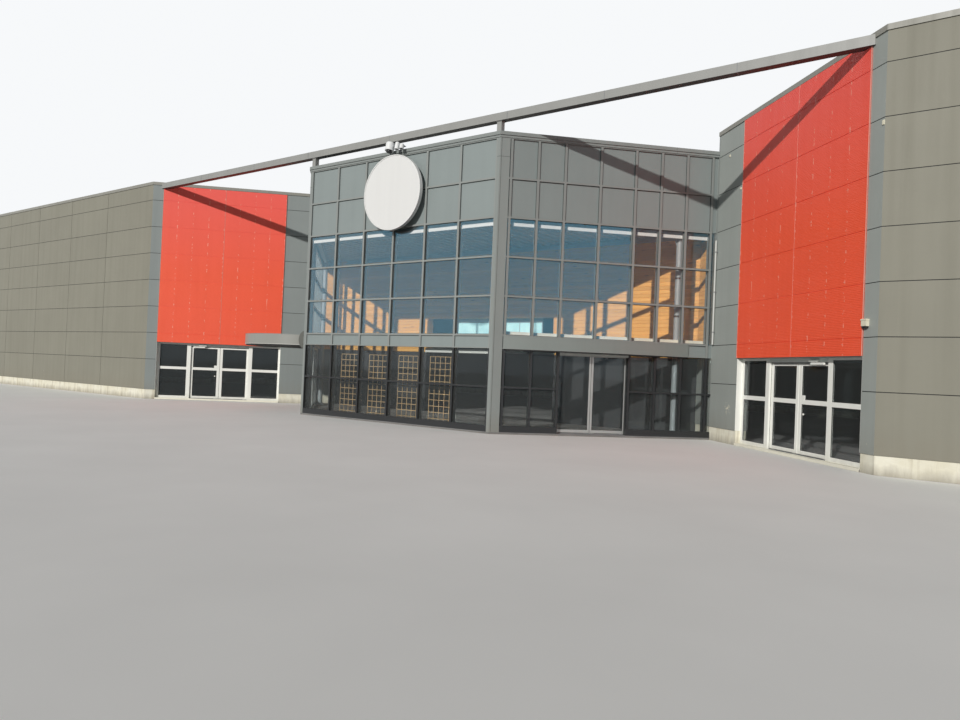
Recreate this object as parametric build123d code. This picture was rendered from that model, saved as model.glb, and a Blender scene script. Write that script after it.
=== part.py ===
"""Supermarket building, a 1:2 scale model, in millimetres.

The frame has its origin on the ground, under the middle of the glazed pavilion's
front face. +X runs to the right along that face, +Y into the building, +Z up.
"""
from build123d import *
import math
import os

# Panel module, joint levels and heights above the ground
module = 500
first_joint = 750
wall_joints = 7
wall_top = 4095
coping_height = 55
plinth_height = 180
fascia_bottom = 1080
fascia_top = 1250
pavilion_top = 3835
pavilion_coping_height = 75
coping_step_share = 0.4
coping_step_out = 8
coping_out = 20
glass_rows = 3
slab_height = 25

# Plan of the front
pavilion_half = 1775
corner_pier = 191
hall_setback = 300
first_wing_bay = 1650
wing_bay = 1500
wing_bays = 4
depth_bays = 8

# Walls
wall_thickness = 150
plinth_setback = 10
joint_width = 8
joint_depth = 6
coping_overhang = 12
roof_thickness = 100
roof_below_top = 320
roof_upstand = 60

# Entrances in the angled walls, along the wall from the inward corner
entrance_start = 655
entrance_width = 2265
entrance_head = 1070
entrance_recess = 75
entrance_frame_depth = 25
entrance_bar = 48
entrance_top_bar = 25
entrance_post = 70
entrance_rail = 600
entrance_rail_height = 50
red_top = 3965
red_bottom = 1080
red_thickness = 14

# Hall opening behind the pavilion and its timber lining
hall_opening_half = 1300
hall_opening_head = 1690
timber_thickness = 20

# Pavilion glazing
front_bays = 6
small_bay = 357
large_bay = 477
first_mullion = 156
last_gap = 75
mullion_width = 30
transom_width = 24
cap_depth = 20
glass_thickness = 12
inner_depth = 58
panel_thickness = 45
base_rail = 79
column_front = 45
column_side = 130
column_depth = 130
mid_rail = 593

# Sliding doors: leaves, floor track and the operator box over them
door_travel = 430
entrance_travel = 500
header_height = 42
operator_depth = 60
operator_height = 50
operator_lap = 20
leaf_thickness = 24
leaf_stile = 26
leaf_bottom_rail = 40
entrance_stile = 48
leaf_lap = 5
pane_thickness = 8
running_gap = 6
shoe_gap = 0.3
shoe_length = 40
shoe_width = 8
meeting_gap = 6
track_height = 6

# Canopies over the pavilion's side doors
canopy_right_start = 140
canopy_right_gap = 333
canopy_right_rise = 150
canopy_left_gap = 385
canopy_left_rise = 1080
canopy_shell = 16

# Roof of the pavilion, its edge beam and the columns under it
edge_beam_bottom = 2695
edge_beam_height = 120
edge_beam_width = 60
edge_beam_plate = 8
rib_height = 30
rib_width = 60
rib_pitch = 160
deck_thickness = 30
column_radius = 42
column_gap = 442
column_plate = 110
column_plate_thickness = 8

# Beam over the front
beam_bottom = 3975
beam_size = 100
beam_post = 70
beam_post_inset = 40

# Round sign and the lamps over it
sign_x = 50
sign_z = 3215
sign_radius = 525
sign_thickness = 55
sign_standoff = 72
sign_rim = 14
sign_face_sink = 6
sign_leg = 16
sign_leg_spread = 250
lamp_bar_start = -95
lamp_bar_end = 145
lamp_bar_size = 12
lamp_bar_rise = 29
lamp_arm = 12
lamp_forward = 70
lamp_tilt = 12
lamps = ((-83, 62, 90, 120), (50, 31, 80, 105), (133, 31, 45, 70))

# Trellis screens behind the ground floor glass
trellis_width = 450
trellis_height = 935
trellis_cells = (5, 11)
trellis_bar = 9
trellis_thickness = 9
trellis_y = 165
trellis_bays = (1, 2, 3, 4)

os.makedirs("parts", exist_ok=True)

wall_joint_levels = [first_joint + module * k for k in range(wall_joints)]
glass_top = fascia_top + glass_rows * module
panel_top = pavilion_top - pavilion_coping_height
side_bays = [small_bay, small_bay, large_bay, large_bay, small_bay, small_bay, small_bay]
side_length = first_mullion + sum(side_bays) + last_gap
side_run = side_length / math.sqrt(2)
concave = (pavilion_half + side_run, side_run)
entrance_end = entrance_start + entrance_width
angle_run = (entrance_end + corner_pier) / math.sqrt(2)
corner_x = concave[0] + angle_run
corner_y = concave[1] - angle_run
hall_y = concave[1] + hall_setback
wing_end = corner_x + first_wing_bay + wing_bays * wing_bay
rear_y = corner_y + depth_bays * wing_bay
inner_x = corner_x - (hall_y - corner_y)
roof_top = wall_top - roof_below_top
hall_top = roof_top + roof_upstand
cladding_top = wall_top - coping_height
rib_bottom = edge_beam_bottom + edge_beam_height
deck_bottom = rib_bottom + rib_height
deck_top = deck_bottom + deck_thickness
pavilion = [
    (-pavilion_half, 0), (pavilion_half, 0), concave, (inner_x, hall_y),
    (-inner_x, hall_y), (-concave[0], concave[1]),
]

# Closed outline of the walls, anticlockwise, with the interior on its left
shell = [
    (-wing_end, corner_y), (-corner_x, corner_y), (-inner_x, hall_y), (inner_x, hall_y),
    (corner_x, corner_y), (wing_end, corner_y), (wing_end, rear_y), (-wing_end, rear_y),
]
left_wing, left_angle, hall, right_angle, right_wing, right_side, rear, left_side = range(8)

# Wall faces as local frames: x along the face, y inwards, z up
front_face = Location((-pavilion_half, 0, 0))
side_face = Location((pavilion_half, 0, 0), (0, 0, 45))
angle_face = Location((concave[0], concave[1], 0), (0, 0, -45))


def inset(points, distance):
    """Closed outline moved inwards by a distance, with mitred corners."""
    count = len(points)
    moved = []
    for i in range(count):
        before, here, after = points[i - 1], points[i], points[(i + 1) % count]
        a = math.atan2(here[1] - before[1], here[0] - before[0])
        b = math.atan2(after[1] - here[1], after[0] - here[0])
        half = (b - a) / 2
        reach = distance / math.cos(half)
        middle = a + half + math.pi / 2
        moved.append((here[0] + reach * math.cos(middle), here[1] + reach * math.sin(middle)))
    return moved


def prism(points, low, high):
    """Upright solid on a plan outline."""
    outline = make_face(Polyline(*points, close=True))
    return extrude(Pos(0, 0, low) * outline, high - low, dir=(0, 0, 1))


def block(x0, x1, y0, y1, z0, z1):
    """Box between two corners."""
    return Pos((x0 + x1) / 2, (y0 + y1) / 2, (z0 + z1) / 2) * Box(x1 - x0, y1 - y0, z1 - z0)


def wall_run(index, outside, inside, low, high):
    """One straight run of the outline, mitred at both ends."""
    outer = inset(shell, outside)
    inner = inset(shell, inside)
    after = (index + 1) % len(shell)
    return prism([outer[index], outer[after], inner[after], inner[index]], low, high)


def run_length(index):
    """Length of one run of the outline along its outer face."""
    here, after = shell[index], shell[(index + 1) % len(shell)]
    return math.dist(here, after)


def run_face(index):
    """Local frame of one run, with x along its outer face."""
    here, after = shell[index], shell[(index + 1) % len(shell)]
    turn = math.degrees(math.atan2(after[1] - here[1], after[0] - here[0]))
    return Location((here[0], here[1], 0), (0, 0, turn))


def panelled(wall, face, length, upright_joints, reach=0):
    """Wall with the sunk joints between its cladding panels."""
    half = joint_width / 2
    for level in wall_joint_levels:
        if level < cladding_top:
            wall -= face * block(-reach, length + reach, -1, joint_depth, level - half, level + half)
    for place in upright_joints:
        wall -= face * block(place - half, place + half, -1, joint_depth, 0, wall_top)
    return wall


def mirrored(solid):
    """The same piece on the other side of the middle."""
    return mirror(solid, about=Plane.YZ)


def save(name, *solids):
    """Write one named piece."""
    shape = solids[0] if len(solids) == 1 else Compound(children=list(solids))
    export_step(shape, f"parts/{name}.step")


def wing_joints(right):
    """Upright joint places on a wing, measured along its face."""
    marks = [first_wing_bay + wing_bay * k for k in range(wing_bays)]
    length = run_length(right_wing)
    return marks if right else [length - mark for mark in marks]


def make_walls():
    """Outer walls of the wings, the sides and the rear, of panels on a steel frame."""
    for name, index, right in (("wing_wall_left", left_wing, False), ("wing_wall_right", right_wing, True)):
        wall = wall_run(index, 0, wall_thickness, plinth_height, cladding_top)
        save(name, panelled(wall, run_face(index), run_length(index), wing_joints(right)))
    sides = []
    for index in (left_side, right_side):
        wall = wall_run(index, 0, wall_thickness, plinth_height, cladding_top)
        marks = [wing_bay * k for k in range(1, depth_bays)]
        sides.append(panelled(wall, run_face(index), run_length(index), marks))
    save("side_walls", *sides)
    wall = wall_run(rear, 0, wall_thickness, plinth_height, cladding_top)
    length = run_length(rear)
    count = round(length / wing_bay)
    marks = [length * k / count for k in range(1, count)]
    save("rear_wall", panelled(wall, run_face(rear), length, marks))


def angled_part(start, end, low=-1, high=wall_top):
    """Region of the right angled wall between two places along it."""
    return angle_face * block(start, end, -1 - coping_overhang, 2 * wall_thickness, low, high)


def make_angled_walls():
    """Angled walls beside and over their entrances, and the red field on them."""
    wall = wall_run(right_angle, 0, wall_thickness, plinth_height, cladding_top)
    length = side_length + 1000
    wall = panelled(wall, angle_face, length, [], reach=600)
    beside = wall & (angled_part(-600, 0, high=hall_top - coping_height) + angled_part(0, entrance_start))
    beyond = wall & angled_part(entrance_end, length)
    over = wall & angled_part(entrance_start, entrance_end, entrance_head)
    save("angled_wall_piers", beside, beyond, mirrored(beside), mirrored(beyond))
    save("angled_wall_heads", over, mirrored(over))
    field = block(entrance_start, entrance_end, -red_thickness, 0, red_bottom, red_top)
    half = joint_width / 2
    for level in wall_joint_levels:
        field -= block(0, length, -red_thickness - 1, joint_depth - red_thickness, level - half, level + half)
    middle = entrance_start + entrance_width / 2
    field -= block(middle - half, middle + half, -red_thickness - 1, joint_depth - red_thickness, 0, wall_top)
    field = angle_face * field
    save("red_cladding_right", field)
    save("red_cladding_left", mirrored(field))


def make_plinth():
    """Concrete plinth under the cladding, broken at the entrances."""
    def course(index):
        return wall_run(index, plinth_setback, wall_thickness, 0, plinth_height)
    save("plinth_long", course(left_wing), course(right_wing), course(rear))
    angled = course(right_angle)
    beside = angled & angled_part(-600, entrance_start)
    beyond = angled & angled_part(entrance_end, side_length + 1000)
    save("plinth_cross", beside, beyond, mirrored(beside), mirrored(beyond),
         course(left_side), course(right_side))


def make_copings():
    """Sheet copings on the walls, with a lower one behind the pavilion."""
    def cap(index):
        return wall_run(index, -coping_overhang, wall_thickness + coping_overhang, cladding_top, wall_top)

    def low_cap(index):
        return wall_run(index, 0, wall_thickness, hall_top - coping_height, hall_top)
    stub = low_cap(right_angle) & angled_part(-600, 0)
    save("coping_long", cap(left_wing), low_cap(hall) + stub + mirrored(stub), cap(right_wing), cap(rear))
    angled = cap(right_angle) & angled_part(0, side_length + 1000)
    save("coping_cross", mirrored(angled), angled, cap(left_side), cap(right_side))


def make_roof():
    """Flat roof between the walls, with a low upstand round it."""
    edge = inset(shell, wall_thickness)
    roof = prism(edge, roof_top - roof_thickness, roof_top)
    upstand = prism(edge, roof_top, roof_top + roof_upstand)
    upstand -= prism(inset(shell, wall_thickness + roof_upstand), roof_top, roof_top + roof_upstand)
    save("main_roof", roof + upstand)


def make_floor():
    """Floor slab of the hall and the pavilion, with a threshold in each entrance."""
    slab = prism(inset(shell, wall_thickness), 0, slab_height)
    slab += prism(pavilion, 0, slab_height)
    slab += block(-inner_x, inner_x, hall_y, hall_y + wall_thickness, 0, slab_height)
    step = angle_face * block(entrance_start, entrance_end, 0, wall_thickness, 0, slab_height)
    slab += step
    slab += mirrored(step)
    save("floor_slab", slab)


def make_hall_wall():
    """Wall between the pavilion and the hall, beside and over its wide opening."""
    wall = wall_run(hall, 0, wall_thickness, slab_height, hall_top - coping_height)
    rear_face = hall_y + wall_thickness
    left = wall & block(-corner_x, -hall_opening_half, hall_y, rear_face, 0, wall_top)
    head = wall & block(-hall_opening_half, hall_opening_half, hall_y, rear_face, hall_opening_head, wall_top)
    save("hall_wall_piers", left, mirrored(left))
    save("hall_wall_head", head)
    front = hall_y - timber_thickness
    reach = inner_x + timber_thickness
    lining = prism([(-reach, front), (reach, front), (inner_x, hall_y), (-inner_x, hall_y)],
                   fascia_bottom, rib_bottom)
    lining -= block(-hall_opening_half, hall_opening_half, front - 1, hall_y + 1, 0, hall_opening_head)
    save("timber_lining", lining)


def side_mullions():
    """Mullion places along a side of the pavilion."""
    places = [first_mullion]
    for bay in side_bays:
        places.append(places[-1] + bay)
    return places


def front_mullions():
    """Mullion places along the front of the pavilion."""
    width = 2 * (pavilion_half - column_front)
    return [column_front + width * k / front_bays for k in range(front_bays + 1)]


def lattice(start, end, places, levels, y0, y1, low, high):
    """Uprights and rails of a glazed wall, fused where they cross."""
    bars = None
    for place in places:
        left = max(place - mullion_width / 2, start)
        right = min(place + mullion_width / 2, end)
        bar = block(left, right, y0, y1, low, high)
        bars = bar if bars is None else bars + bar
    for level in levels:
        bottom = max(level - transom_width / 2, low)
        top = min(level + transom_width / 2, high)
        bars += block(start, end, y0, y1, bottom, top)
    return bars


def make_upper_frames():
    """Upper storey grids: pressure caps outside the glass and deeper bars inside it."""
    cap_levels = [fascia_bottom, fascia_top]
    cap_levels += [fascia_top + module * k for k in range(1, glass_rows + 2)] + [panel_top]
    glass_levels = [fascia_top + module * k for k in range(glass_rows + 1)]
    inside = cap_depth + glass_thickness
    faces = {
        "upper_frame_front": (front_face, column_front, 2 * pavilion_half - column_front, front_mullions()),
        "upper_frame_right": (side_face, column_side, side_length, side_mullions()),
    }
    for name, (face, start, end, places) in faces.items():
        if face is front_face:
            places = [start] + places[1:-1] + [end]
        edge = min(places[-1] + mullion_width / 2, end)
        caps = lattice(start, edge, places, cap_levels, 0, cap_depth, fascia_bottom, panel_top)
        bars = lattice(start, end, places + [end], glass_levels, inside, inside + inner_depth,
                       fascia_top, glass_top)
        save(name, face * caps, face * bars)
        if face is side_face:
            save("upper_frame_left", mirrored(face * caps), mirrored(face * bars))


def door_bounds():
    """Clear opening of a pavilion side door, from jamb to jamb."""
    places = side_mullions()
    return places[2] + mullion_width / 2, places[4] - mullion_width / 2


def make_ground_frames():
    """Ground floor grids of the pavilion, with the sides broken at their doors."""
    end = 2 * pavilion_half - column_front
    rails = [slab_height + base_rail / 2, mid_rail, fascia_bottom - transom_width / 2]
    depth = cap_depth + glass_thickness + inner_depth
    slot = block(column_front, end, cap_depth, cap_depth + glass_thickness,
                 slab_height + base_rail, fascia_bottom)
    uprights = [column_front] + front_mullions()[1:-1] + [end]
    grid = lattice(column_front, end, uprights, rails[1:2], 0, depth, slab_height, fascia_bottom)
    grid += block(column_front, end, 0, depth, slab_height, slab_height + base_rail)
    save("ground_frame_front", *(front_face * (grid - slot)).solids())
    places = side_mullions()
    pieces = []
    for start, stop, marks in (
        (column_side, places[2] + mullion_width / 2, places[:2] + [places[2]]),
        (places[4] - mullion_width / 2, side_length, places[4:]),
    ):
        grid = lattice(start, stop, marks, rails[1:2], 0, depth, slab_height, fascia_bottom)
        grid += block(start, stop, 0, depth, slab_height, slab_height + base_rail)
        slot = block(start - 1, stop + 1, cap_depth, cap_depth + glass_thickness,
                     slab_height + base_rail, fascia_bottom)
        pieces += (side_face * (grid - slot)).solids()
    save("ground_frame_right", *pieces)
    save("ground_frame_left", *[mirrored(piece) for piece in pieces])


def make_glass():
    """Sheets of glass, one to each side and storey of the pavilion."""
    near, far = cap_depth, cap_depth + glass_thickness
    end = 2 * pavilion_half - column_front
    front = front_face * block(column_front, end, near, far, fascia_top, glass_top)
    side = side_face * block(column_side, side_length, near, far, fascia_top, glass_top)
    save("upper_glass", front, side, mirrored(side))
    low = slab_height + base_rail
    sheets = [front_face * block(column_front, end, near, far, low, fascia_bottom)]
    left_jamb, right_jamb = door_bounds()
    for start, stop in ((column_side, left_jamb), (right_jamb, side_length)):
        sheet = side_face * block(start, stop, near, far, low, fascia_bottom)
        sheets += [sheet, mirrored(sheet)]
    save("ground_glass", *sheets)


def make_panels():
    """Grey infill panels over the glass, and the fascia under it."""
    near, far = cap_depth, cap_depth + panel_thickness
    end = 2 * pavilion_half - column_front
    front = front_face * block(column_front, end, near, far, glass_top, panel_top)
    side = side_face * block(column_side, side_length, near, far, glass_top, panel_top)
    save("pavilion_panels", front, side, mirrored(side))
    front = front_face * block(column_front, end, near, far, fascia_bottom, fascia_top)
    side = side_face * block(column_side, side_length, near, far, fascia_bottom, fascia_top)
    save("fascia_band", front, side, mirrored(side))


def corner_column():
    """Folded cover on the pavilion's right front corner."""
    along = column_side / math.sqrt(2)
    back = column_depth / math.sqrt(2)
    corner = pavilion_half
    return prism([
        (corner - column_front, 0), (corner, 0), (corner + along, along),
        (corner + along - back, along + back), (corner - column_front, column_depth),
    ], slab_height, panel_top)


def make_corner_columns():
    """Both corner covers, from the slab to the coping."""
    save("corner_columns", corner_column(), mirrored(corner_column()))


def make_canopies():
    """Canopies with a bowed front: a shallow one on the right, a deep one on the left."""
    def bowed(start, end, rise):
        middle = (start + end) / 2
        arc = ThreePointArc((start, 0), (middle, -rise), (end, 0))
        plan = make_face([arc, Line((end, 0), (start, 0))])
        solid = extrude(Pos(0, 0, fascia_bottom) * plan, fascia_top - fascia_bottom, dir=(0, 0, 1))
        arc = ThreePointArc((start + canopy_shell, 0), (middle, canopy_shell - rise), (end - canopy_shell, 0))
        plan = make_face([arc, Line((end - canopy_shell, 0), (start + canopy_shell, 0))])
        well = extrude(Pos(0, 0, fascia_bottom) * plan, fascia_top - fascia_bottom, dir=(0, 0, 1))
        upper = Pos(0, 0, fascia_top - fascia_bottom - canopy_shell) * well
        lower = Pos(0, 0, canopy_shell + fascia_bottom - fascia_top) * well
        return solid - upper - lower
    end = side_length - canopy_right_gap
    save("canopy_right", side_face * bowed(canopy_right_start, end, canopy_right_rise))
    end = side_length - canopy_left_gap
    save("canopy_left", mirrored(side_face * bowed(canopy_left_gap, end, canopy_left_rise)))


def make_pavilion_coping():
    """Stepped coping on the pavilion's three faces, mitred at the corners."""
    far = 2 * side_run
    ring = [(-pavilion_half - far, far), (-pavilion_half, 0), (pavilion_half, 0),
            (pavilion_half + far, far), (0, 2 * far)]
    keep = side_face * block(-wing_end, side_length, -wing_end, wing_end, 0, wall_top)

    def strip(out, back, low, high):
        band = prism(inset(ring, -out), low, high) - prism(inset(ring, back), low, high)
        return band & keep & mirrored(keep)
    step = panel_top + pavilion_coping_height * coping_step_share
    lower = strip(coping_step_out, cap_depth + panel_thickness, panel_top, step)
    upper = strip(coping_out, column_depth, step, pavilion_top)
    save("pavilion_coping", lower + upper)


def make_pavilion_roof():
    """Ribbed steel deck between the parapet panels and the hall wall."""
    edge = cap_depth + panel_thickness
    trim = block(-corner_x, corner_x, -1, edge, 0, wall_top)
    side_trim = side_face * block(-1000, side_length + 1000, -1000, edge, 0, wall_top)

    def fitted(solid):
        return solid - trim - side_trim - mirrored(side_trim) - corner_column() - mirrored(corner_column())
    deck = fitted(prism(pavilion, deck_bottom, deck_top))
    ribs = None
    count = int(inner_x / rib_pitch)
    for k in range(-count, count + 1):
        x = k * rib_pitch
        rib = block(x - rib_width / 2, x + rib_width / 2, 0, hall_y, rib_bottom, deck_bottom)
        ribs = rib if ribs is None else ribs + rib
    ribs = fitted(ribs & prism(pavilion, rib_bottom, deck_bottom))
    save("pavilion_roof", deck + ribs)


def make_edge_beam():
    """Rolled edge beam behind the glass heads, and the round columns under it."""
    line = column_depth + edge_beam_width / 2
    far = 2 * side_run
    ring = [(-pavilion_half - far, far), (-pavilion_half, 0), (pavilion_half, 0),
            (pavilion_half + far, far), (0, 2 * far)]
    keep = side_face * block(-wing_end, side_length, -wing_end, wing_end, 0, wall_top)

    def band(near, width, low, high):
        outer = prism(inset(ring, near), low, high)
        return (outer - prism(inset(ring, near + width), low, high)) & keep & mirrored(keep)
    low, high = edge_beam_bottom, edge_beam_bottom + edge_beam_height
    beam = band(column_depth, edge_beam_width, low, low + edge_beam_plate)
    beam += band(line - edge_beam_plate / 2, edge_beam_plate, low, high)
    beam += band(column_depth, edge_beam_width, high - edge_beam_plate, high)
    save("edge_beam", beam)
    along = side_length - column_gap
    foot = Pos(along, line, slab_height + column_plate_thickness / 2)
    head = Pos(along, line, low - column_plate_thickness / 2)
    plate = Box(column_plate, column_plate, column_plate_thickness)
    middle = (slab_height + low) / 2
    shaft = Pos(along, line, middle) * Cylinder(column_radius, low - slab_height)
    column = side_face * (shaft + foot * plate + head * plate)
    save("interior_columns", column, mirrored(column))


def make_roof_beam():
    """Long box beam across the front, with end plates on the angled walls, and its posts."""
    top = beam_bottom + beam_size
    edge = corner_x + corner_y - coping_overhang * math.sqrt(2)
    beam = prism([(-edge, 0), (edge, 0), (edge - beam_size, beam_size), (beam_size - edge, beam_size)],
                 beam_bottom, top)
    start = math.hypot(edge - beam_size - concave[0], beam_size - concave[1])
    plate = angle_face * block(start, start + beam_size * math.sqrt(2), -coping_overhang, 0,
                               beam_bottom, cladding_top)
    save("roof_beam", beam + plate + mirrored(plate))
    inset_face = (beam_size - beam_post) / 2
    middle = pavilion_half - beam_post_inset
    post = block(middle - beam_post / 2, middle + beam_post / 2,
                 inset_face, inset_face + beam_post, pavilion_top, beam_bottom)
    save("beam_posts", post, mirrored(post))


def make_sign():
    """Round sign on four legs, and the row of lamps over it on the coping."""
    centre = Pos(sign_x, -sign_standoff - sign_thickness / 2, sign_z) * Rot(90, 0, 0)
    disc = centre * Cylinder(sign_radius, sign_thickness)
    face = Pos(sign_x, -sign_standoff - sign_thickness + sign_face_sink / 2, sign_z) * Rot(90, 0, 0)
    disc -= face * Cylinder(sign_radius - sign_rim, sign_face_sink)
    length = sign_standoff + cap_depth
    for dx in (-sign_leg_spread, sign_leg_spread):
        for dz in (-sign_leg_spread, sign_leg_spread):
            leg = Pos(sign_x + dx, cap_depth - length / 2, sign_z + dz) * Rot(90, 0, 0)
            disc += leg * Cylinder(sign_leg, length)
    save("sign_disc", disc)
    half = lamp_bar_size / 2
    front = -coping_out - lamp_arm
    middle = sign_x + lamps[1][0]
    height = pavilion_top + lamp_bar_rise
    group = block(middle - half, middle + half, front, -coping_out,
                  pavilion_top - pavilion_coping_height / 2, height + half)
    group += block(sign_x + lamp_bar_start, sign_x + lamp_bar_end, front, -coping_out,
                   height - half, height + half)
    for place, radius, rise, length in lamps:
        x = sign_x + place
        group += block(x - half, x + half, -lamp_forward - coping_out, front, height - half, height + half)
        lamp = Pos(x, -lamp_forward - coping_out, pavilion_top + rise) * Rot(-lamp_tilt, 0, 0)
        group += lamp * Pos(0, 0, -length / 2) * Cylinder(radius, length)
    save("sign_lamps", group)


def make_trellis():
    """Trellis screens that stand behind the ground floor glass."""
    places = front_mullions()
    columns, rows = trellis_cells
    screens = []
    for bay in trellis_bays:
        middle = (places[bay] + places[bay + 1]) / 2 - pavilion_half
        left = middle - trellis_width / 2
        screen = None
        for k in range(columns + 1):
            x = left + (trellis_width - trellis_bar) * k / columns
            bar = block(x, x + trellis_bar, trellis_y, trellis_y + trellis_thickness,
                        slab_height, slab_height + trellis_height)
            screen = bar if screen is None else screen + bar
        for k in range(rows + 1):
            z = slab_height + (trellis_height - trellis_bar) * k / rows
            screen += block(left, left + trellis_width, trellis_y, trellis_y + trellis_thickness,
                            z, z + trellis_bar)
        screens.append(screen)
    save("trellis_screens", *screens)


def door_leaf(start, end, low, high, near, stile):
    """Glazed sliding leaf with stiles, rails and two running shoes on its track."""
    far = near + leaf_thickness
    left, right = start + stile, end - stile
    bottom, top = low + leaf_bottom_rail, high - leaf_stile
    middle = (near + far) / 2
    leaf = block(start, end, near, far, low, high) - block(left, right, near, far, bottom, top)
    leaf += block(left, right, middle - pane_thickness / 2, middle + pane_thickness / 2, bottom, top)
    for place in (left, right - shoe_length):
        leaf += block(place, place + shoe_length, middle - shoe_width / 2, middle + shoe_width / 2,
                      low - running_gap + shoe_gap, low)
    return leaf


def make_entrances():
    """White entrance frames in the angled walls, with their fixed glass and sliding leaves."""
    near = entrance_recess
    far = near + entrance_frame_depth
    bay = entrance_width / 4
    posts = (entrance_start + bay, entrance_end - bay)
    half = entrance_post / 2
    glass_near = (near + far - pane_thickness) / 2
    rail_low = entrance_rail - entrance_rail_height / 2
    rail_high = rail_low + entrance_rail_height
    grids = []
    panes = []
    for start, end, left, right in (
        (entrance_start, posts[0] + half, entrance_start + entrance_bar, posts[0] - half),
        (posts[1] - half, entrance_end, posts[1] + half, entrance_end - entrance_bar),
    ):
        grid = block(start, end, near, far, slab_height, entrance_head)
        for low, high in ((slab_height + entrance_bar, rail_low), (rail_high, entrance_head - entrance_top_bar)):
            grid -= block(left, right, near, far, low, high)
            pane = block(left, right, glass_near, glass_near + pane_thickness, low, high)
            panes.append(angle_face * pane)
        grids.append(angle_face * grid)
    save("entrance_frame_right", *grids)
    save("entrance_frame_left", *[mirrored(grid) for grid in grids])
    save("entrance_glass", *panes, *[mirrored(pane) for pane in panes])
    under = entrance_head - operator_height
    low, high = slab_height + track_height + running_gap, under - running_gap
    centre = entrance_start + entrance_width / 2
    first, last = posts[0] + half - leaf_lap, posts[1] - half + leaf_lap
    leaves = {"inner": (first, centre - meeting_gap / 2), "outer": (centre + meeting_gap / 2, last)}
    for name, (start, end) in leaves.items():
        leaf = door_leaf(start, end, low, high, far + running_gap, entrance_stile)
        leaf += block(start + entrance_stile, end - entrance_stile, far + running_gap,
                      far + running_gap + leaf_thickness, rail_low, rail_high)
        leaf = angle_face * leaf
        save(f"entrance_leaf_right_{name}", leaf)
        save(f"entrance_leaf_left_{name}", mirrored(leaf))
    head = angle_face * block(posts[0] + half, posts[1] - half, near, far,
                              entrance_head - header_height, entrance_head)
    reach = (first - entrance_travel - leaf_stile, last + entrance_travel + leaf_stile)
    return head, [angle_face * piece for piece in running_gear(reach, far, under)]


def make_pavilion_doors():
    """Sliding leaves in the pavilion's sides."""
    places = side_mullions()
    jambs = door_bounds()
    depth = cap_depth + glass_thickness + inner_depth
    under = fascia_bottom - operator_lap
    low, high = slab_height + track_height + running_gap, under - running_gap
    near = depth + running_gap
    front = door_leaf(places[2], places[3] - meeting_gap / 2, low, high, near, leaf_stile)
    back = door_leaf(places[3] + meeting_gap / 2, places[4], low, high, near, leaf_stile)
    for name, leaf in (("front", side_face * front), ("back", side_face * back)):
        save(f"pavilion_leaf_right_{name}", leaf)
        save(f"pavilion_leaf_left_{name}", mirrored(leaf))
    head = side_face * block(*jambs, 0, depth, fascia_bottom - header_height, fascia_bottom)
    reach = (places[2] - door_travel - leaf_stile, places[4] + door_travel + leaf_stile)
    return head, [side_face * piece for piece in running_gear(reach, depth, under)]


def running_gear(reach, near, under):
    """Operator box over a pair of leaves and the floor track under them."""
    return [
        block(*reach, near, near + operator_depth, under, under + operator_height),
        block(*reach, near, near + 2 * running_gap + leaf_thickness, slab_height, slab_height + track_height),
    ]


def make_door_heads():
    """Head bars over the four doorways, and the gear that the leaves run on."""
    heads = []
    gear = []
    for head, pieces in (make_entrances(), make_pavilion_doors()):
        heads += [head, mirrored(head)]
        gear += pieces + [mirrored(piece) for piece in pieces]
    save("door_heads", *heads)
    save("door_gear", *gear)


make_walls()
make_angled_walls()
make_plinth()
make_copings()
make_roof()
make_floor()
make_hall_wall()
make_upper_frames()
make_ground_frames()
make_glass()
make_panels()
make_corner_columns()
make_canopies()
make_pavilion_coping()
make_pavilion_roof()
make_edge_beam()
make_roof_beam()
make_sign()
make_trellis()
make_door_heads()
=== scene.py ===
import math

import bpy
import numpy as np
from mathutils import Matrix, Vector


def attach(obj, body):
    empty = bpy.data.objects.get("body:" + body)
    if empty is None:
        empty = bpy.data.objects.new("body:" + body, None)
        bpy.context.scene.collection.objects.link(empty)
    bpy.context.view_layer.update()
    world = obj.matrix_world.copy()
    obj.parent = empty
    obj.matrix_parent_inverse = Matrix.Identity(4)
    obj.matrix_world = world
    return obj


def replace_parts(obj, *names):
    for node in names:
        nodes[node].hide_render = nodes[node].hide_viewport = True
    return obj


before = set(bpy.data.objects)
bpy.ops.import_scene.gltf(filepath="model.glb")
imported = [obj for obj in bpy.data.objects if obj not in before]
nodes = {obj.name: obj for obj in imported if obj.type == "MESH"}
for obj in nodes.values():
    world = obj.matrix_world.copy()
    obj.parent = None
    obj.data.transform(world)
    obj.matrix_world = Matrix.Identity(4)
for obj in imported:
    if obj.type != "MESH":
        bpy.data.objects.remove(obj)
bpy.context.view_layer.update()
half = math.sqrt(0.5)
print("stage: frame loaded")

# plan and levels shared by the pieces, in metres
plan = {
    "pavilionHalf": 1.775, "sideLength": 2.97, "angleLength": 3.111, "hallSetback": 0.3,
    "firstBay": 1.65, "wingBay": 1.5, "wingBays": 4, "depth": 12.0, "module": 0.5, "firstJoint": 0.75,
    "slabTop": 0.025, "plinthTop": 0.18, "fasciaBottom": 1.08, "fasciaTop": 1.25, "claddingTop": 4.04,
}
sideMullions = (0.156, 0.513, 0.870, 1.347, 1.824, 2.181, 2.538, 2.895)
frontMullions = tuple(-1.73 + 3.46 * k / 6 for k in range(7))
glazed = (("front", frontMullions), ("rightSide", sideMullions), ("leftSide", sideMullions))
bothSides = ("right", "left")
angleFaces, sideFaces = ("rightAngle", "leftAngle"), ("rightSide", "leftSide")
jointLevels = [plan["firstJoint"] + plan["module"] * k for k in range(7)]
inwardX = plan["pavilionHalf"] + plan["sideLength"] * half
inwardY = plan["sideLength"] * half
cornerX = inwardX + plan["angleLength"] * half
cornerY = inwardY - plan["angleLength"] * half
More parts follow.
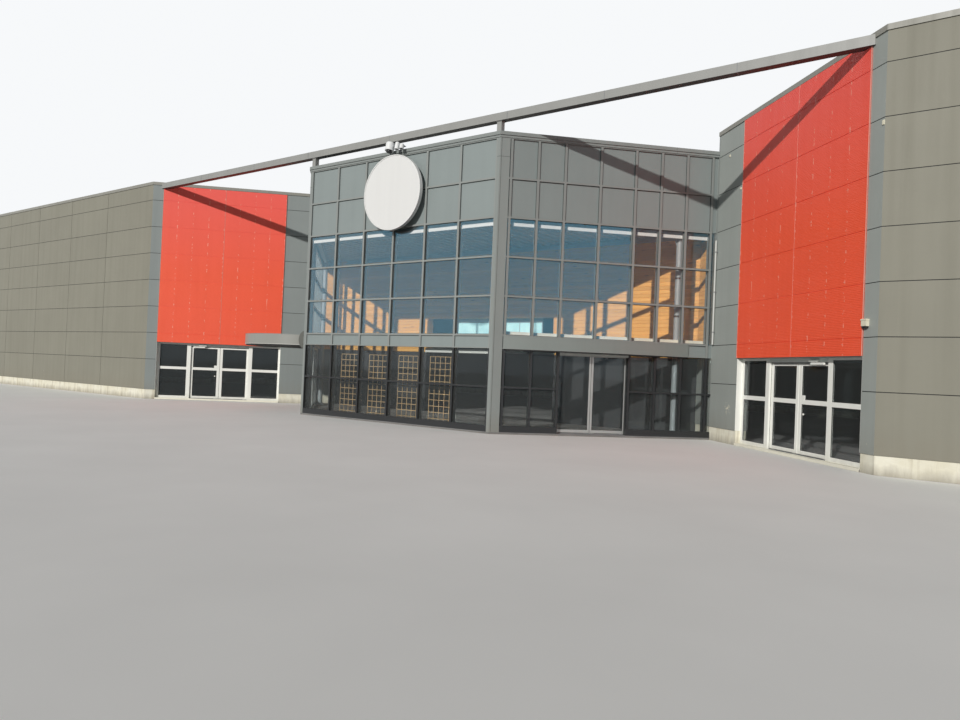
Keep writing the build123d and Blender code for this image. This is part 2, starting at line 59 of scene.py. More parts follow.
hallY = inwardY + plan["hallSetback"]
endX = cornerX + plan["firstBay"] + plan["wingBays"] * plan["wingBay"]
rearY = cornerY + plan["depth"]

# each face: where it starts in plan, the way along it and the way into the building
faces = {
    "front": ((0, 0), (1, 0), (0, 1)),
    "rightSide": ((plan["pavilionHalf"], 0), (half, half), (-half, half)),
    "leftSide": ((-plan["pavilionHalf"], 0), (-half, half), (half, half)),
    "rightAngle": ((inwardX, inwardY), (half, -half), (half, half)),
    "leftAngle": ((-inwardX, inwardY), (-half, -half), (-half, half)),
    "rightWing": ((cornerX, cornerY), (1, 0), (0, 1)),
    "leftWing": ((-cornerX, cornerY), (-1, 0), (0, 1)),
    "rightEnd": ((endX, cornerY), (0, 1), (-1, 0)),
    "leftEnd": ((-endX, cornerY), (0, 1), (1, 0)),
    "rear": ((-endX, rearY), (1, 0), (0, -1)),
}


def onFace(face, points):
    # local (along, inward, up) to the building's frame
    start, along, inward = (np.array(v, float) for v in faces[face])
    points = np.asarray(points, float)
    flat = start + points[..., :1] * along + points[..., 1:2] * inward
    return np.concatenate([flat, points[..., 2:3]], axis=-1)


def outOf(face):
    return np.append(-np.array(faces[face][2], float), 0)


def backwards(polys):
    return [p[:, ::-1] for p in polys]


def placed(face, points, polys):
    # a mirrored face would turn a solid inside out, so there its faces are read backwards
    start, along, inward = faces[face]
    mirrored = along[0] * inward[1] - along[1] * inward[0] < 0
    return onFace(face, points.reshape(-1, 3)), backwards(polys) if mirrored else polys


def shell(n, rows=2, solids=1, ring=False):
    # faces over rows of n points: walls between neighbouring rows and a cap at both ends, or a closed ring of rows
    k = np.arange(n)
    after = (k + 1) % n
    low = (np.arange(rows if ring else rows - 1) * n)[:, None]
    high = (low + n) % (rows * n)
    walls = np.stack([low + k, low + after, high + after, high + k], -1).reshape(-1, 4)
    caps = np.stack([k[::-1], (rows - 1) * n + k])
    base = (np.arange(solids) * rows * n)[:, None, None]
    return [(base + walls).reshape(-1, 4)] + ([] if ring else [(base + caps).reshape(-1, n)])


def bars(face, boxes, chamfer=0.002, axis=0):
    # each box is a bar along one axis; its section is the rectangle with its four corners cut at 45 degrees
    boxes = np.asarray(boxes, float).reshape(-1, 6)
    low, high = boxes[:, 0::2], boxes[:, 1::2]
    a, b = [k for k in range(3) if k != axis]
    cut = np.minimum(chamfer, 0.45 * np.minimum(high[:, a] - low[:, a], high[:, b] - low[:, b]))[:, None]
    lowA, highA, lowB, highB = low[:, a:a + 1], high[:, a:a + 1], low[:, b:b + 1], high[:, b:b + 1]
    ringA = np.concatenate([lowA + cut, highA - cut, highA, highA, highA - cut, lowA + cut, lowA, lowA], 1)
    ringB = np.concatenate([lowB, lowB, lowB + cut, highB - cut, highB, highB, highB - cut, lowB + cut], 1)
    points = np.zeros((len(boxes), 2, 8, 3))
    points[..., a], points[..., b] = ringA[:, None], ringB[:, None]
    points[:, 0, :, axis], points[:, 1, :, axis] = low[:, axis:axis + 1], high[:, axis:axis + 1]
    polys = shell(8, 2, len(boxes))
    return placed(face, points, backwards(polys) if axis == 1 else polys)


def swept(face, profile, runs):
    # closed outline of (inward, up) points carried along a face from each start to each end
    profile, runs = np.asarray(profile, float), np.asarray(runs, float)
    points = np.zeros((len(runs), 2, len(profile), 3))
    points[..., 1:] = profile
    points[..., 0] = runs[:, :, None]
    inward, up = profile.T
    area = np.sum(inward * np.roll(up, -1) - np.roll(inward, -1) * up)
    polys = shell(len(profile), 2, len(runs))
    return placed(face, points, polys if area > 0 else backwards(polys))


def tubes(starts, ends, radius, sides):
    # round bars: a circle at both ends, square to the line between them
    line = ends - starts
    line /= np.linalg.norm(line, axis=1, keepdims=True)
    aside = np.cross(line, np.where(np.abs(line[:, 2:]) > 0.9, [[1.0, 0, 0]], [[0, 0, 1.0]]))
    aside /= np.linalg.norm(aside, axis=1, keepdims=True)
    over = np.cross(line, aside)
    turn = np.linspace(0, 2 * math.pi, sides, endpoint=False)
    ring = radius * (aside[:, None] * np.cos(turn)[:, None] + over[:, None] * np.sin(turn)[:, None])
    points = np.stack([starts[:, None] + ring, ends[:, None] + ring], 1)
    return points.reshape(-1, 3), shell(sides, 2, len(starts))


def turned(centre, axis, profile, sides=48, ring=False):
    # lathe: (radius, height) points spun about an axis through the centre, closed at both ends or as a ring
    axis = np.asarray(axis, float) / np.linalg.norm(axis)
    aside = np.cross(axis, [0, 0, 1.0] if abs(axis[2]) < 0.9 else [1.0, 0, 0])
    aside /= np.linalg.norm(aside)
    over = np.cross(axis, aside)
    profile = np.asarray(profile, float)
    turn = np.linspace(0, 2 * math.pi, sides, endpoint=False)
    circle = aside * np.cos(turn)[:, None] + over * np.sin(turn)[:, None]
    points = np.asarray(centre, float) + profile[:, None, :1] * circle[None] + profile[:, None, 1:] * axis
    return points.reshape(-1, 3), shell(sides, len(profile), ring=ring)


def newObject(name, data):
    made = bpy.data.objects.new(name, data)
    bpy.context.scene.collection.objects.link(made)
    return made


def makePiece(name, parts, material, body="building", smooth=False):
    # parts are (points, lists of faces) that become one mesh; faces of one size are kept together
    verts, polys, base = [], {}, 0
    for points, lists in parts:
        verts.append(points)
        for p in lists:
            polys.setdefault(p.shape[1], []).append(p + base)
        base += len(points)
    verts = np.concatenate(verts).astype(np.float32)
    polys = [np.concatenate(p) for p in polys.values()]
    mesh = bpy.data.meshes.new(name)
    mesh.vertices.add(len(verts))
    mesh.vertices.foreach_set("co", verts.ravel())
    sizes = np.concatenate([np.full(len(p), p.shape[1]) for p in polys])
    corners = np.concatenate([p.ravel() for p in polys]).astype(np.int32)
    mesh.loops.add(len(corners))
    mesh.loops.foreach_set("vertex_index", corners)
    mesh.polygons.add(len(sizes))
    mesh.polygons.foreach_set("loop_start", np.concatenate([[0], np.cumsum(sizes)[:-1]]).astype(np.int32))
    mesh.polygons.foreach_set("use_smooth", np.full(len(sizes), smooth))
    mesh.update(calc_edges=True)
    mesh.validate()
    mesh.materials.append(bpy.data.materials[material])
    piece = newObject(name, mesh)
    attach(piece, body)
    return piece


# a graph adds shader nodes and links them by name
class Graph:
    def __init__(self, tree):
        self.tree = tree

    def add(self, kind, inputs=None, **props):
        node = self.tree.nodes.new("ShaderNode" + kind)
        for key, value in props.items():
            setattr(node, key, value)
        for key, value in (inputs or {}).items():
            self.put(node, key, value)
        return node

    def put(self, node, key, value):
        socket = node.inputs[key]
        if isinstance(value, bpy.types.NodeSocket):
            self.tree.links.new(value, socket)
        elif isinstance(value, (tuple, list)) and socket.type == "RGBA" and len(value) == 3:
            socket.default_value = (*value, 1)
        else:
            socket.default_value = value

    def math(self, operation, a, b=0.0, c=0.0, clamp=False):
        return self.add("Math", {0: a, 1: b, 2: c}, operation=operation, use_clamp=clamp).outputs[0]

    def mix(self, factor, a, b, blend="MIX"):
        return self.add("Mix", {0: factor, 6: a, 7: b}, data_type="RGBA", blend_type=blend).outputs[2]

    def cover(self, mask, amount, tint, color):
        return self.mix(self.math("MULTIPLY", mask, amount), tint, color)

    def toned(self, color, tone):
        shade = self.add("CombineColor", {0: tone, 1: tone, 2: tone}).outputs[0]
        return self.mix(1.0, color, shade, "MULTIPLY")

    def ramp(self, value, low, high, start=0.0, end=1.0):
        return self.add("MapRange", {0: value, 1: low, 2: high, 3: start, 4: end}).outputs[0]

    def noise(self, vector, scale, detail=4.0, roughness=0.55):
        return self.add("TexNoise", {"Vector": vector, "Scale": scale, "Detail": detail,
                                     "Roughness": roughness}).outputs[0]

    def stretched(self, vector, scale):
        return self.add("Mapping", {"Vector": vector, "Scale": scale}).outputs[0]

    def place(self):
        return self.add("TexCoord").outputs["Object"]

    def axes(self, vector=None):
        return self.add("SeparateXYZ", {0: vector or self.place()}).outputs

    def group(self, tree, inputs):
        return self.add("Group", inputs, node_tree=tree).outputs

    def finish(self, values):
        for key, value in values.items():
            self.put(self.shader, key, value)

    def bump(self, height, strength, distance):
        bump = self.add("Bump", {"Strength": strength, "Distance": distance, "Height": height})
        self.put(self.shader, "Normal", bump.outputs[0])


def shaderGroup(name, inputs, outputs):
    # a socket's kind comes from its default: one number, a place of three or a colour of four
    kinds = {1: "NodeSocketFloat", 3: "NodeSocketVector", 4: "NodeSocketColor"}
    tree = bpy.data.node_groups.new(name, "ShaderNodeTree")
    for title, value in inputs.items():
        socket = tree.interface.new_socket(title, in_out="INPUT", socket_type=kinds[np.size(value)])
        socket.default_value = value
    for title, value in outputs.items():
        tree.interface.new_socket(title, in_out="OUTPUT", socket_type=kinds[np.size(value)])
    return Graph(tree), tree.nodes.new("NodeGroupInput").outputs, tree.nodes.new("NodeGroupOutput")


grey = (0.5, 0.5, 0.5, 1)

# coated sheet: cloudy tone, rain streaks that run down, and a fine orange-peel height
g, take, sink = shaderGroup("coatedSheet", {"Color": grey, "Cloud": 0.06, "Streaks": 0.08, "Roughness": 0.4},
                            {"Color": grey, "Roughness": 0.0, "Height": 0.0})
spot = g.place()
cloud = g.ramp(g.noise(spot, 1.7), 0.3, 0.7, -1, 1)
streak = g.ramp(g.noise(g.stretched(spot, (9, 9, 0.35)), 1.0, 5), 0.42, 0.75)
tone = g.math("MULTIPLY_ADD", cloud, take["Cloud"], 1.0)
tone = g.math("SUBTRACT", tone, g.math("MULTIPLY", streak, take["Streaks"]))
g.put(sink, "Color", g.toned(take["Color"], tone))
g.put(sink, "Roughness", g.math("MULTIPLY_ADD", streak, 0.12, take["Roughness"]))
g.put(sink, "Height", g.noise(spot, 420, 2))
coatedSheet = g.tree

# panel shade: each cladding panel a little lighter or darker than its neighbour
g, take, sink = shaderGroup("panelShade", {"Color": grey, "Amount": 0.03, "Across": 1.0}, {"Color": grey})
x, y, z = g.axes()
across = g.math("MULTIPLY_ADD", g.math("ABSOLUTE", x), 1 / plan["wingBay"],
                0.0005 - (cornerX + plan["firstBay"]) / plan["wingBay"])
back = g.math("MULTIPLY_ADD", y, 1 / plan["wingBay"], 0.0005 - cornerY / plan["wingBay"])
across = g.math("MULTIPLY", across, take["Across"])
back = g.math("MULTIPLY", back, take["Across"])
up = g.math("MULTIPLY_ADD", z, 1 / plan["module"], -plan["firstJoint"] / plan["module"])
cell = g.add("CombineXYZ", {k: g.math("FLOOR", value) for k, value in enumerate((across, back, up))}).outputs[0]
luck = g.add("TexWhiteNoise", {"Vector": cell}, noise_dimensions="3D").outputs["Value"]
tone = g.math("MULTIPLY_ADD", g.math("SUBTRACT", luck, 0.5), take["Amount"], 1.0)
g.put(sink, "Color", g.toned(take["Color"], tone))
panelShade = g.tree

# seams: a mask of thin lines at an even pitch from the middle outwards, across X
g, take, sink = shaderGroup("sheetSeams", {"Pitch": 1.5, "Offset": 0.0, "Width": 0.003}, {"Mask": 0.0})
shift = g.math("SUBTRACT", g.math("ABSOLUTE", g.axes()[0]), take["Offset"])
away = g.math("PINGPONG", shift, g.math("MULTIPLY", take["Pitch"], 0.5))
g.put(sink, "Mask", g.math("LESS_THAN", away, g.math("MULTIPLY", take["Width"], 0.5)))
sheetSeams = g.tree

# chips: small pale flakes, many low on the wall, rare above it, and a cluster round the spot
g, take, sink = shaderGroup("paintChips", {"Low": 0.3, "High": 0.9, "Least": 0.70, "Spot": (0.0, 0.0, 0.0),
                                           "Reach": 0.3, "Extra": 0.0}, {"Mask": 0.0})
spot = g.place()
few = g.ramp(g.axes(spot)[2], take["Low"], take["High"], 0.0, 0.09)
limit = g.math("ADD", take["Least"], few)
flakes = g.math("ADD", g.math("MULTIPLY", g.noise(spot, 46, 3, 0.6), 0.55),
                g.math("MULTIPLY", g.noise(spot, 3.1, 2), 0.45))
away = g.add("VectorMath", {0: spot, 1: take["Spot"]}, operation="DISTANCE").outputs["Value"]
hurt = g.math("SUBTRACT", 1.0, g.math("DIVIDE", away, take["Reach"]), clamp=True)
flakes = g.math("MULTIPLY_ADD", hurt, take["Extra"], flakes)
g.put(sink, "Mask", g.math("GREATER_THAN", flakes, limit))
paintChips = g.tree

# ground splash: a mask that is strong at the ground and fades upwards with a ragged edge
g, take, sink = shaderGroup("groundSplash", {"Height": 0.2, "Ragged": 0.5}, {"Mask": 0.0})
spot = g.place()
rise = g.math("SUBTRACT", 1.0, g.math("DIVIDE", g.axes(spot)[2], take["Height"]))
jitter = g.math("MULTIPLY", g.math("SUBTRACT", g.noise(g.stretched(spot, (14, 14, 3)), 1.0, 6), 0.5), take["Ragged"])
g.put(sink, "Mask", g.math("ADD", rise, jitter, clamp=True))
groundSplash = g.tree

# pine boards: grain drawn out along X, a tone of its own for each board, and dark round knots
g, take, sink = shaderGroup("pineBoards", {"Light": (0.7, 0.4, 0.16, 1), "Dark": (0.45, 0.2, 0.07, 1),
                                           "Pitch": 0.054, "Base": 0.025}, {"Color": grey, "Height": 0.0})
x, y, z = g.axes()
row = g.math("FLOOR", g.math("DIVIDE", g.math("SUBTRACT", z, take["Base"]), take["Pitch"]))
luck = g.add("TexWhiteNoise", {"W": row}, noise_dimensions="1D").outputs["Value"]
shifted = g.add("CombineXYZ", {0: g.math("MULTIPLY_ADD", luck, 37.0, x), 1: y, 2: z}).outputs[0]
grain = g.noise(g.stretched(shifted, (2.2, 8, 90)), 1.0, 6, 0.65)
knot = g.add("TexVoronoi", {"Vector": g.stretched(shifted, (3.1, 1, 18.5)), "Scale": 1.0})
knotMask = g.ramp(knot.outputs["Distance"], 0.05, 0.16, 1, 0)
wood = g.mix(g.ramp(grain, 0.3, 0.72), take["Light"], take["Dark"])
wood = g.toned(wood, g.math("MULTIPLY_ADD", g.math("SUBTRACT", luck, 0.5), 0.26, 1.0))
g.put(sink, "Color", g.cover(knotMask, 0.75, wood, (0.14, 0.05, 0.02)))
g.put(sink, "Height", g.math("SUBTRACT", grain, g.math("MULTIPLY", knotMask, 0.4)))
pineBoards = g.tree
print("stage: shader groups made")


def newMaterial(name):
    material = bpy.data.materials.new(name)
    material.use_nodes = True
    material.node_tree.nodes.clear()
    graph = Graph(material.node_tree)
    graph.shader = graph.add("BsdfPrincipled")
    graph.out = graph.add("OutputMaterial", {0: graph.shader.outputs[0]})
    return graph


def coatedMetal(name, color, cloud, streaks, roughness, panels=0.0, across=1.0, specular=0.5, metallic=0.0,
                seams=None, chips=None, splash=0.0, shadeBelow=None, shadedPart=None):
    # painted sheet; panels varies the panels' tone, seams is (pitch, offset), splash is the height of the dirt,
    # shadeBelow is (level, colour), painted shade for the part below a level, and shadedPart is (both sides, reach,
    # tone), painted shade as a darker tone past the reach on both sides of the middle, or left of it
    graph = newMaterial(name)
    sheet = graph.group(coatedSheet, {"Color": color, "Cloud": cloud, "Streaks": streaks, "Roughness": roughness})
    tint = sheet["Color"]
    if panels:
        tint = graph.group(panelShade, {"Color": tint, "Amount": panels, "Across": across})[0]
    # painted shade: the part below a level takes a dark colour
    if shadeBelow:
        tint = graph.mix(graph.math("LESS_THAN", graph.axes()[2], shadeBelow[0]), tint, shadeBelow[1])
    # painted shade: a darker tone past the reach on both sides, or left of the middle
    if shadedPart:
        x = graph.axes()[0]
        mask = (graph.math("GREATER_THAN", graph.math("ABSOLUTE", x), shadedPart[1]) if shadedPart[0]
                else graph.math("LESS_THAN", x, shadedPart[1]))
        tint = graph.mix(mask, tint, graph.mix(1.0, tint, shadedPart[2], "MULTIPLY"))
    if splash:
        mask = graph.group(groundSplash, {"Height": splash, "Ragged": 0.9})[0]
        tint = graph.cover(mask, 0.35, tint, (0.24, 0.21, 0.16))
    if chips is not None:
        tint = graph.mix(graph.group(paintChips, chips)[0], tint, (0.72, 0.69, 0.56))
    if seams:
        mask = graph.group(sheetSeams, {"Pitch": seams[0], "Offset": seams[1]})[0]
        tint = graph.cover(mask, 0.7, tint, (0.05, 0.05, 0.05))
    graph.finish({"Base Color": tint, "Roughness": sheet["Roughness"], "Specular IOR Level": specular,
                  "Metallic": metallic})
    graph.bump(sheet["Height"], 0.08, 0.001)


def concreteLike(name, light, dark, splash, scale=1.0, stain=(0.32, 0.25, 0.14), seams=None):
    # cast concrete: mottled between two tones, pitted, with a stained splash at the ground
    graph = newMaterial(name)
    spot = graph.place()
    tint = graph.mix(graph.ramp(graph.noise(spot, 5.5 * scale, 8, 0.62), 0.32, 0.7), light, dark)
    drips = graph.ramp(graph.noise(graph.stretched(spot, (11, 11, 1.2)), 1.0, 6, 0.6), 0.52, 0.74)
    tint = graph.cover(drips, 0.55, tint, stain)
    mask = graph.group(groundSplash, {"Height": splash, "Ragged": 1.3})[0]
    tint = graph.cover(mask, 0.6, tint, (0.22, 0.19, 0.15))
    if seams:
        mask = graph.group(sheetSeams, {"Pitch": seams[0], "Offset": seams[1], "Width": 0.006})[0]
        tint = graph.cover(mask, 0.6, tint, (0.06, 0.06, 0.06))
    graph.finish({"Base Color": tint, "Roughness": 0.88})
    graph.bump(graph.math("ADD", graph.noise(spot, 60 * scale, 6, 0.7), graph.noise(spot, 7 * scale, 4)), 0.5, 0.004)


def clearGlass(name, tint, index, reflect, cast=0.88, indoors=0.3):
    # window glass: a faint rippled face with a coloured reflection; the sun passes it as through a clear film, and
    # indoors is the share of the scattered light that gets in
    graph = newMaterial(name)
    spot = graph.place()
    smear = graph.ramp(graph.noise(graph.stretched(spot, (3, 3, 1.1)), 1.0, 5), 0.4, 0.75, 0.01, 0.06)
    graph.finish({"Base Color": tint, "Transmission Weight": 0.98, "IOR": index, "Specular Tint": reflect,
                  "Roughness": smear})
    graph.bump(graph.noise(spot, 1.4, 2), 0.05, 0.02)
    path = graph.add("LightPath").outputs
    film = graph.mix(path["Is Diffuse Ray"], (cast, cast, cast), (indoors, indoors, indoors))
    clear = graph.add("BsdfTransparent", {"Color": film})
    passing = graph.math("MAXIMUM", path["Is Shadow Ray"], path["Is Diffuse Ray"])
    mixed = graph.add("MixShader", {0: passing, 1: graph.shader.outputs[0], 2: clear.outputs[0]})
    graph.put(graph.out, 0, mixed.outputs[0])


# painted sheets: colour, cloud, streaks, roughness, and what else a finish has
paint = {
    "wing panel": ((0.264, 0.257, 0.211), 0.03, 0.04, 0.6,
                   {"panels": 0.05, "specular": 0.35, "chips": {}, "splash": 0.45}),
    "angle panel": ((0.351, 0.380, 0.361), 0.03, 0.04, 0.55,
                    {"panels": 0.06, "across": 0.0, "specular": 0.4, "splash": 0.45,
                     "chips": {"Spot": (4.205, 1.770, 0.445), "Reach": 0.20, "Extra": 0.31},
                     # painted shade: left of the middle the angled walls take a darker, bluer tone
                     "shadedPart": (False, 0.0, (0.735, 0.76, 0.79))}),
    # painted shade: the pavilion's side panels, past its front corners, take a darker tone
    "pavilion panel": ((0.269, 0.311, 0.310), 0.03, 0.04, 0.42,
                       {"shadedPart": (True, plan["pavilionHalf"] + 0.001, (0.86, 0.853, 0.846))}),
    "corner sheet": ((0.255, 0.280, 0.272), 0.03, 0.05, 0.4, {"splash": 0.3}),
    "coping sheet": ((0.273, 0.270, 0.237), 0.04, 0.07, 0.42, {"seams": (1.5, cornerX)}),
    "pavilion coping": ((0.255, 0.280, 0.272), 0.04, 0.07, 0.4, {"seams": (1.1533, 0.0)}),
    "beam sheet": ((0.325, 0.330, 0.318), 0.03, 0.07, 0.42,
                   {"shadeBelow": (3.9765, (0.050, 0.048, 0.050))}),  # painted shade: its underside is coloured almost black
    "post sheet": ((0.325, 0.330, 0.318), 0.03, 0.07, 0.42),
    "right canopy sheet": ((0.225, 0.255, 0.244), 0.03, 0.05, 0.36),
    "left canopy sheet": ((0.312, 0.316, 0.294), 0.03, 0.05, 0.36),
    "mullion sheet": ((0.285, 0.305, 0.295), 0.03, 0.04, 0.4),
    # painted shade: the side faces' mullions are a darker copy of the front's
    "shaded side mullion sheet": ((0.240, 0.258, 0.250), 0.03, 0.04, 0.4),
    "dark mullion": ((0.022, 0.024, 0.026), 0.05, 0.08, 0.36),
    "leaf metal": ((0.50, 0.51, 0.50), 0.03, 0.05, 0.32, {"metallic": 0.5}),
    "gear metal": ((0.24, 0.25, 0.26), 0.04, 0.06, 0.4),
    "door head metal": ((0.78, 0.82, 0.78), 0.03, 0.05, 0.4),
    "end plate metal": ((0.15, 0.155, 0.14), 0.05, 0.08, 0.45),
    # painted highlight: the pale lower lip of the left canopy
    "lip highlight metal": ((0.66, 0.66, 0.63), 0.03, 0.05, 0.35),
    # painted shade: near black under the canopies; the end plate's bolts use it too
    "soffit sheet": ((0.035, 0.036, 0.037), 0.05, 0.03, 0.6, {"specular": 0.3}),
    "white frame": ((0.95, 0.96, 0.91), 0.03, 0.04, 0.36, {"splash": 0.12}),
    "bright white": ((0.97, 0.98, 0.97), 0.01, 0.01, 0.3),
    "cream board": ((0.92, 0.89, 0.76), 0.05, 0.05, 0.5),
    "deck sheet": ((0.62, 0.66, 0.68), 0.03, 0.04, 0.45),
    "steel paint": ((0.36, 0.40, 0.42), 0.05, 0.05, 0.42),
    # painted shade: below the fascia the hall wall is near black, for the shade behind the ground-floor glass
    "plaster wall": ((0.55, 0.55, 0.52), 0.06, 0.04, 0.75,
                     {"specular": 0.25, "shadeBelow": (plan["fasciaBottom"], (0.040, 0.042, 0.045))}),
    "wall beam": ((0.42, 0.52, 0.56), 0.04, 0.04, 0.5),
    "sign face": ((0.81, 0.815, 0.81), 0.010, 0.03, 0.3),
    "sign rim": ((0.50, 0.51, 0.51), 0.03, 0.05, 0.3, {"metallic": 0.55}),
    "lamp shell": ((0.86, 0.88, 0.89), 0.02, 0.06, 0.35),
    "wall box": ((0.82, 0.78, 0.62), 0.03, 0.05, 0.4),
    "pipe metal": ((0.60, 0.61, 0.58), 0.04, 0.06, 0.35),
    "gasket rubber": ((0.018, 0.019, 0.020), 0.06, 0.02, 0.6, {"specular": 0.3}),
}
for name, (color, cloud, streaks, roughness, *more) in paint.items():
    coatedMetal(name, color, cloud, streaks, roughness, **(more[0] if more else {}))
concreteLike("plinth concrete", (0.90, 0.88, 0.76), (0.78, 0.74, 0.59), 0.10)
concreteLike("floor concrete", (0.24, 0.235, 0.23), (0.16, 0.16, 0.16), 0.01, 0.6, (0.14, 0.14, 0.14))
concreteLike("roof membrane", (0.24, 0.24, 0.24), (0.16, 0.16, 0.165), 0.01, 0.35, (0.28, 0.28, 0.27), (1.0, 0.0))
clearGlass("upper glass", (0.94, 0.97, 0.98), 1.86, (0.24, 0.70, 1.0), cast=0.97)
clearGlass("ground glass", (0.80, 0.85, 0.85), 1.28, (0.75, 0.9, 1.0))

# timber of the hall wall and of the trellis
woods = {
    "pine lining": ({"Light": (0.98, 0.57, 0.17), "Dark": (0.84, 0.40, 0.095), "Base": plan["fasciaBottom"]},
                    0.42, 0.25),
    "lath wood": ({"Light": (0.82, 0.58, 0.31), "Dark": (0.56, 0.35, 0.16), "Pitch": 0.0843}, 0.62, 0.3),
}
for name, (tones, roughness, relief) in woods.items():
    graph = newMaterial(name)
    boards = graph.group(pineBoards, tones)
    graph.finish({"Base Color": boards["Color"], "Roughness": roughness})
    graph.bump(boards["Height"], relief, 0.002)

# red fields: fluted rows between the level joints, an upright joint in the middle, and caps on their fixings
redField = {"start": 0.655, "end": 2.92, "low": 1.08, "high": 4.036, "front": -0.014, "back": -0.008, "wall": -0.0002,
            "joint": 0.008, "edge": 0.004, "pitch": 0.0167, "depth": 0.0020, "columns": 8,
            "fixings": (0.045, 0.240, 0.440), "margin": 0.02,
            "cap": ((0.0045, -0.002), (0.0045, 0.0004), (0.0030, 0.0012), (0.0004, 0.0013))}
fieldStart, fieldEnd, fieldLow, fieldHigh = (redField[key] for key in ("start", "end", "low", "high"))
column = (fieldEnd - fieldStart) / redField["columns"]

# red cladding: coated sheet with short level dashes, a faded top and pale chips over its fixings
graph = newMaterial("red cladding")
x, y, z = graph.axes()
along = graph.math("MULTIPLY", graph.math("SUBTRACT", graph.math("ABSOLUTE", x), 3.875), 1 / half)
sheet = graph.group(coatedSheet, {"Color": (0.98, 0.120, 0.050), "Cloud": 0.03, "Streaks": 0.03, "Roughness": 0.5})
flat = graph.add("CombineXYZ", {0: along, 1: z, 2: 0.0}).outputs[0]
dash = graph.noise(graph.stretched(flat, (26, 150, 1)), 1.0, 3, 0.6)
tint = graph.mix(graph.ramp(dash, 0.35, 0.7, 0.0, 0.6), sheet["Color"], (0.90, 0.085, 0.026))
tint = graph.cover(graph.ramp(z, 2.4, 4.0), 0.75, tint, (0.95, 0.125, 0.112))
near = graph.ramp(graph.math("PINGPONG", graph.math("SUBTRACT", along, fieldStart), column / 2), 0.004, 0.008, 1, 0)
chip = graph.ramp(graph.noise(graph.stretched(flat, (9, 17, 1)), 1.0, 2), 0.54, 0.62, 0.0, 0.8)
tint = graph.cover(near, chip, tint, (0.97, 0.42, 0.32))
graph.finish({"Base Color": tint, "Roughness": sheet["Roughness"]})
graph.bump(dash, 0.35, 0.003)
graph = newMaterial("red trim")
sheet = graph.group(coatedSheet, {"Color": (0.80, 0.36, 0.30), "Cloud": 0.1, "Streaks": 0.15, "Roughness": 0.5})
graph.finish({"Base Color": sheet["Color"], "Roughness": sheet["Roughness"]})
print("stage: materials made")

# finishes of the solids; what isn't named here is a leaf
dress = {
    "wing panel": ("wing_wall_left", "wing_wall_right", "side_walls", "rear_wall"),
    "angle panel": ("angled_wall_piers", "angled_wall_heads"), "plaster wall": ("hall_wall_head", "hall_wall_piers"),
    "pine lining": ("timber_lining",), "coping sheet": ("coping_long", "coping_cross"),
    "pavilion coping": ("pavilion_coping",), "pavilion panel": ("pavilion_panels", "fascia_band"),
    "corner sheet": ("corner_columns",), "plinth concrete": ("plinth_long", "plinth_cross"),
    "floor concrete": ("floor_slab",), "roof membrane": ("main_roof",), "deck sheet": ("pavilion_roof",),
    "steel paint": ("edge_beam", "interior_columns"), "beam sheet": ("roof_beam",), "post sheet": ("beam_posts",),
    "left canopy sheet": ("canopy_left",), "right canopy sheet": ("canopy_right",),
    "mullion sheet": ("upper_frame_front",), "shaded side mullion sheet": ("upper_frame_left", "upper_frame_right"),
    "dark mullion": ("ground_frame_front", "ground_frame_left", "ground_frame_right"),
    "upper glass": ("upper_glass",), "ground glass": ("ground_glass", "entrance_glass"),
    "white frame": ("entrance_frame_left", "entrance_frame_right", "sign_lamps"), "door head metal": ("door_heads",),
    "gear metal": ("door_gear",), "sign face": ("sign_disc",), "lath wood": ("trellis_screens",),
    "red cladding": ("red_cladding_left", "red_cladding_right"),
}
finishOf = {node: finish for finish, names in dress.items() for node in names}
for name, node in nodes.items():
    leafFinish = "white frame" if name.startswith("entrance_leaf") else "leaf metal"
    finish = bpy.data.materials[finishOf.get(name, leafFinish)]
    if not node.material_slots:
        node.data.materials.append(finish)
    for slot in node.material_slots:
        slot.material = finish


def flutedRow(low, high):
    # depth is the field's front plus a raised cosine with one wave a pitch
    steps = 6 * max(2, round((high - low) / redField["pitch"]))
    up = np.linspace(low, high, steps + 1)
    wave = (1 - np.cos(2 * math.pi * (up - low) / redField["pitch"])) / 2
    front = np.stack([redField["front"] + redField["depth"] * wave, up], 1)
    return np.concatenate([front, [[-0.001, high], [-0.001, low]]])


gap, edge = redField["joint"] / 2, redField["edge"]
middle = (fieldStart + fieldEnd) / 2
runs = [(fieldStart + edge, middle - gap), (middle + gap, fieldEnd - edge)]
levels = [fieldLow] + [z for z in jointLevels if fieldLow < z < fieldHigh] + [fieldHigh]
capSpots = [(fieldStart + column * k, z + rise) for k in range(1, redField["columns"])
            if k != redField["columns"] // 2 for z in jointLevels for rise in redField["fixings"]]
for side in bothSides:
    face = side + "Angle"
    rows = [swept(face, flutedRow(low + (gap if low > fieldLow else 0), high - (gap if high < fieldHigh else 0)), runs)
            for low, high in zip(levels, levels[1:])]
    rows.append(bars(face, [fieldStart, fieldEnd, redField["back"], redField["wall"], fieldLow, fieldHigh], 0.001))
    piece = makePiece("redField_" + side, rows, "red cladding")
    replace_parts(piece, "red_cladding_" + side)
    trims = [[x, x + edge, redField["front"] - 0.001, redField["wall"], fieldLow, fieldHigh]
             for x in (fieldStart, fieldEnd - edge)]
    trims.append([middle - 0.0025, middle + 0.0025, redField["front"] + 0.0015, redField["back"], fieldLow, fieldHigh])
    makePiece("redTrim_" + side, [bars(face, trims, 0.001, axis=2)], "red trim")
    caps = [turned(onFace(face, [x, redField["front"], z]), outOf(face), redField["cap"], 8) for x, z in capSpots
            if fieldLow + redField["margin"] < z < fieldHigh - redField["margin"]]
    makePiece("redFixings_" + side, caps, "red trim")
print("stage: red fields made")

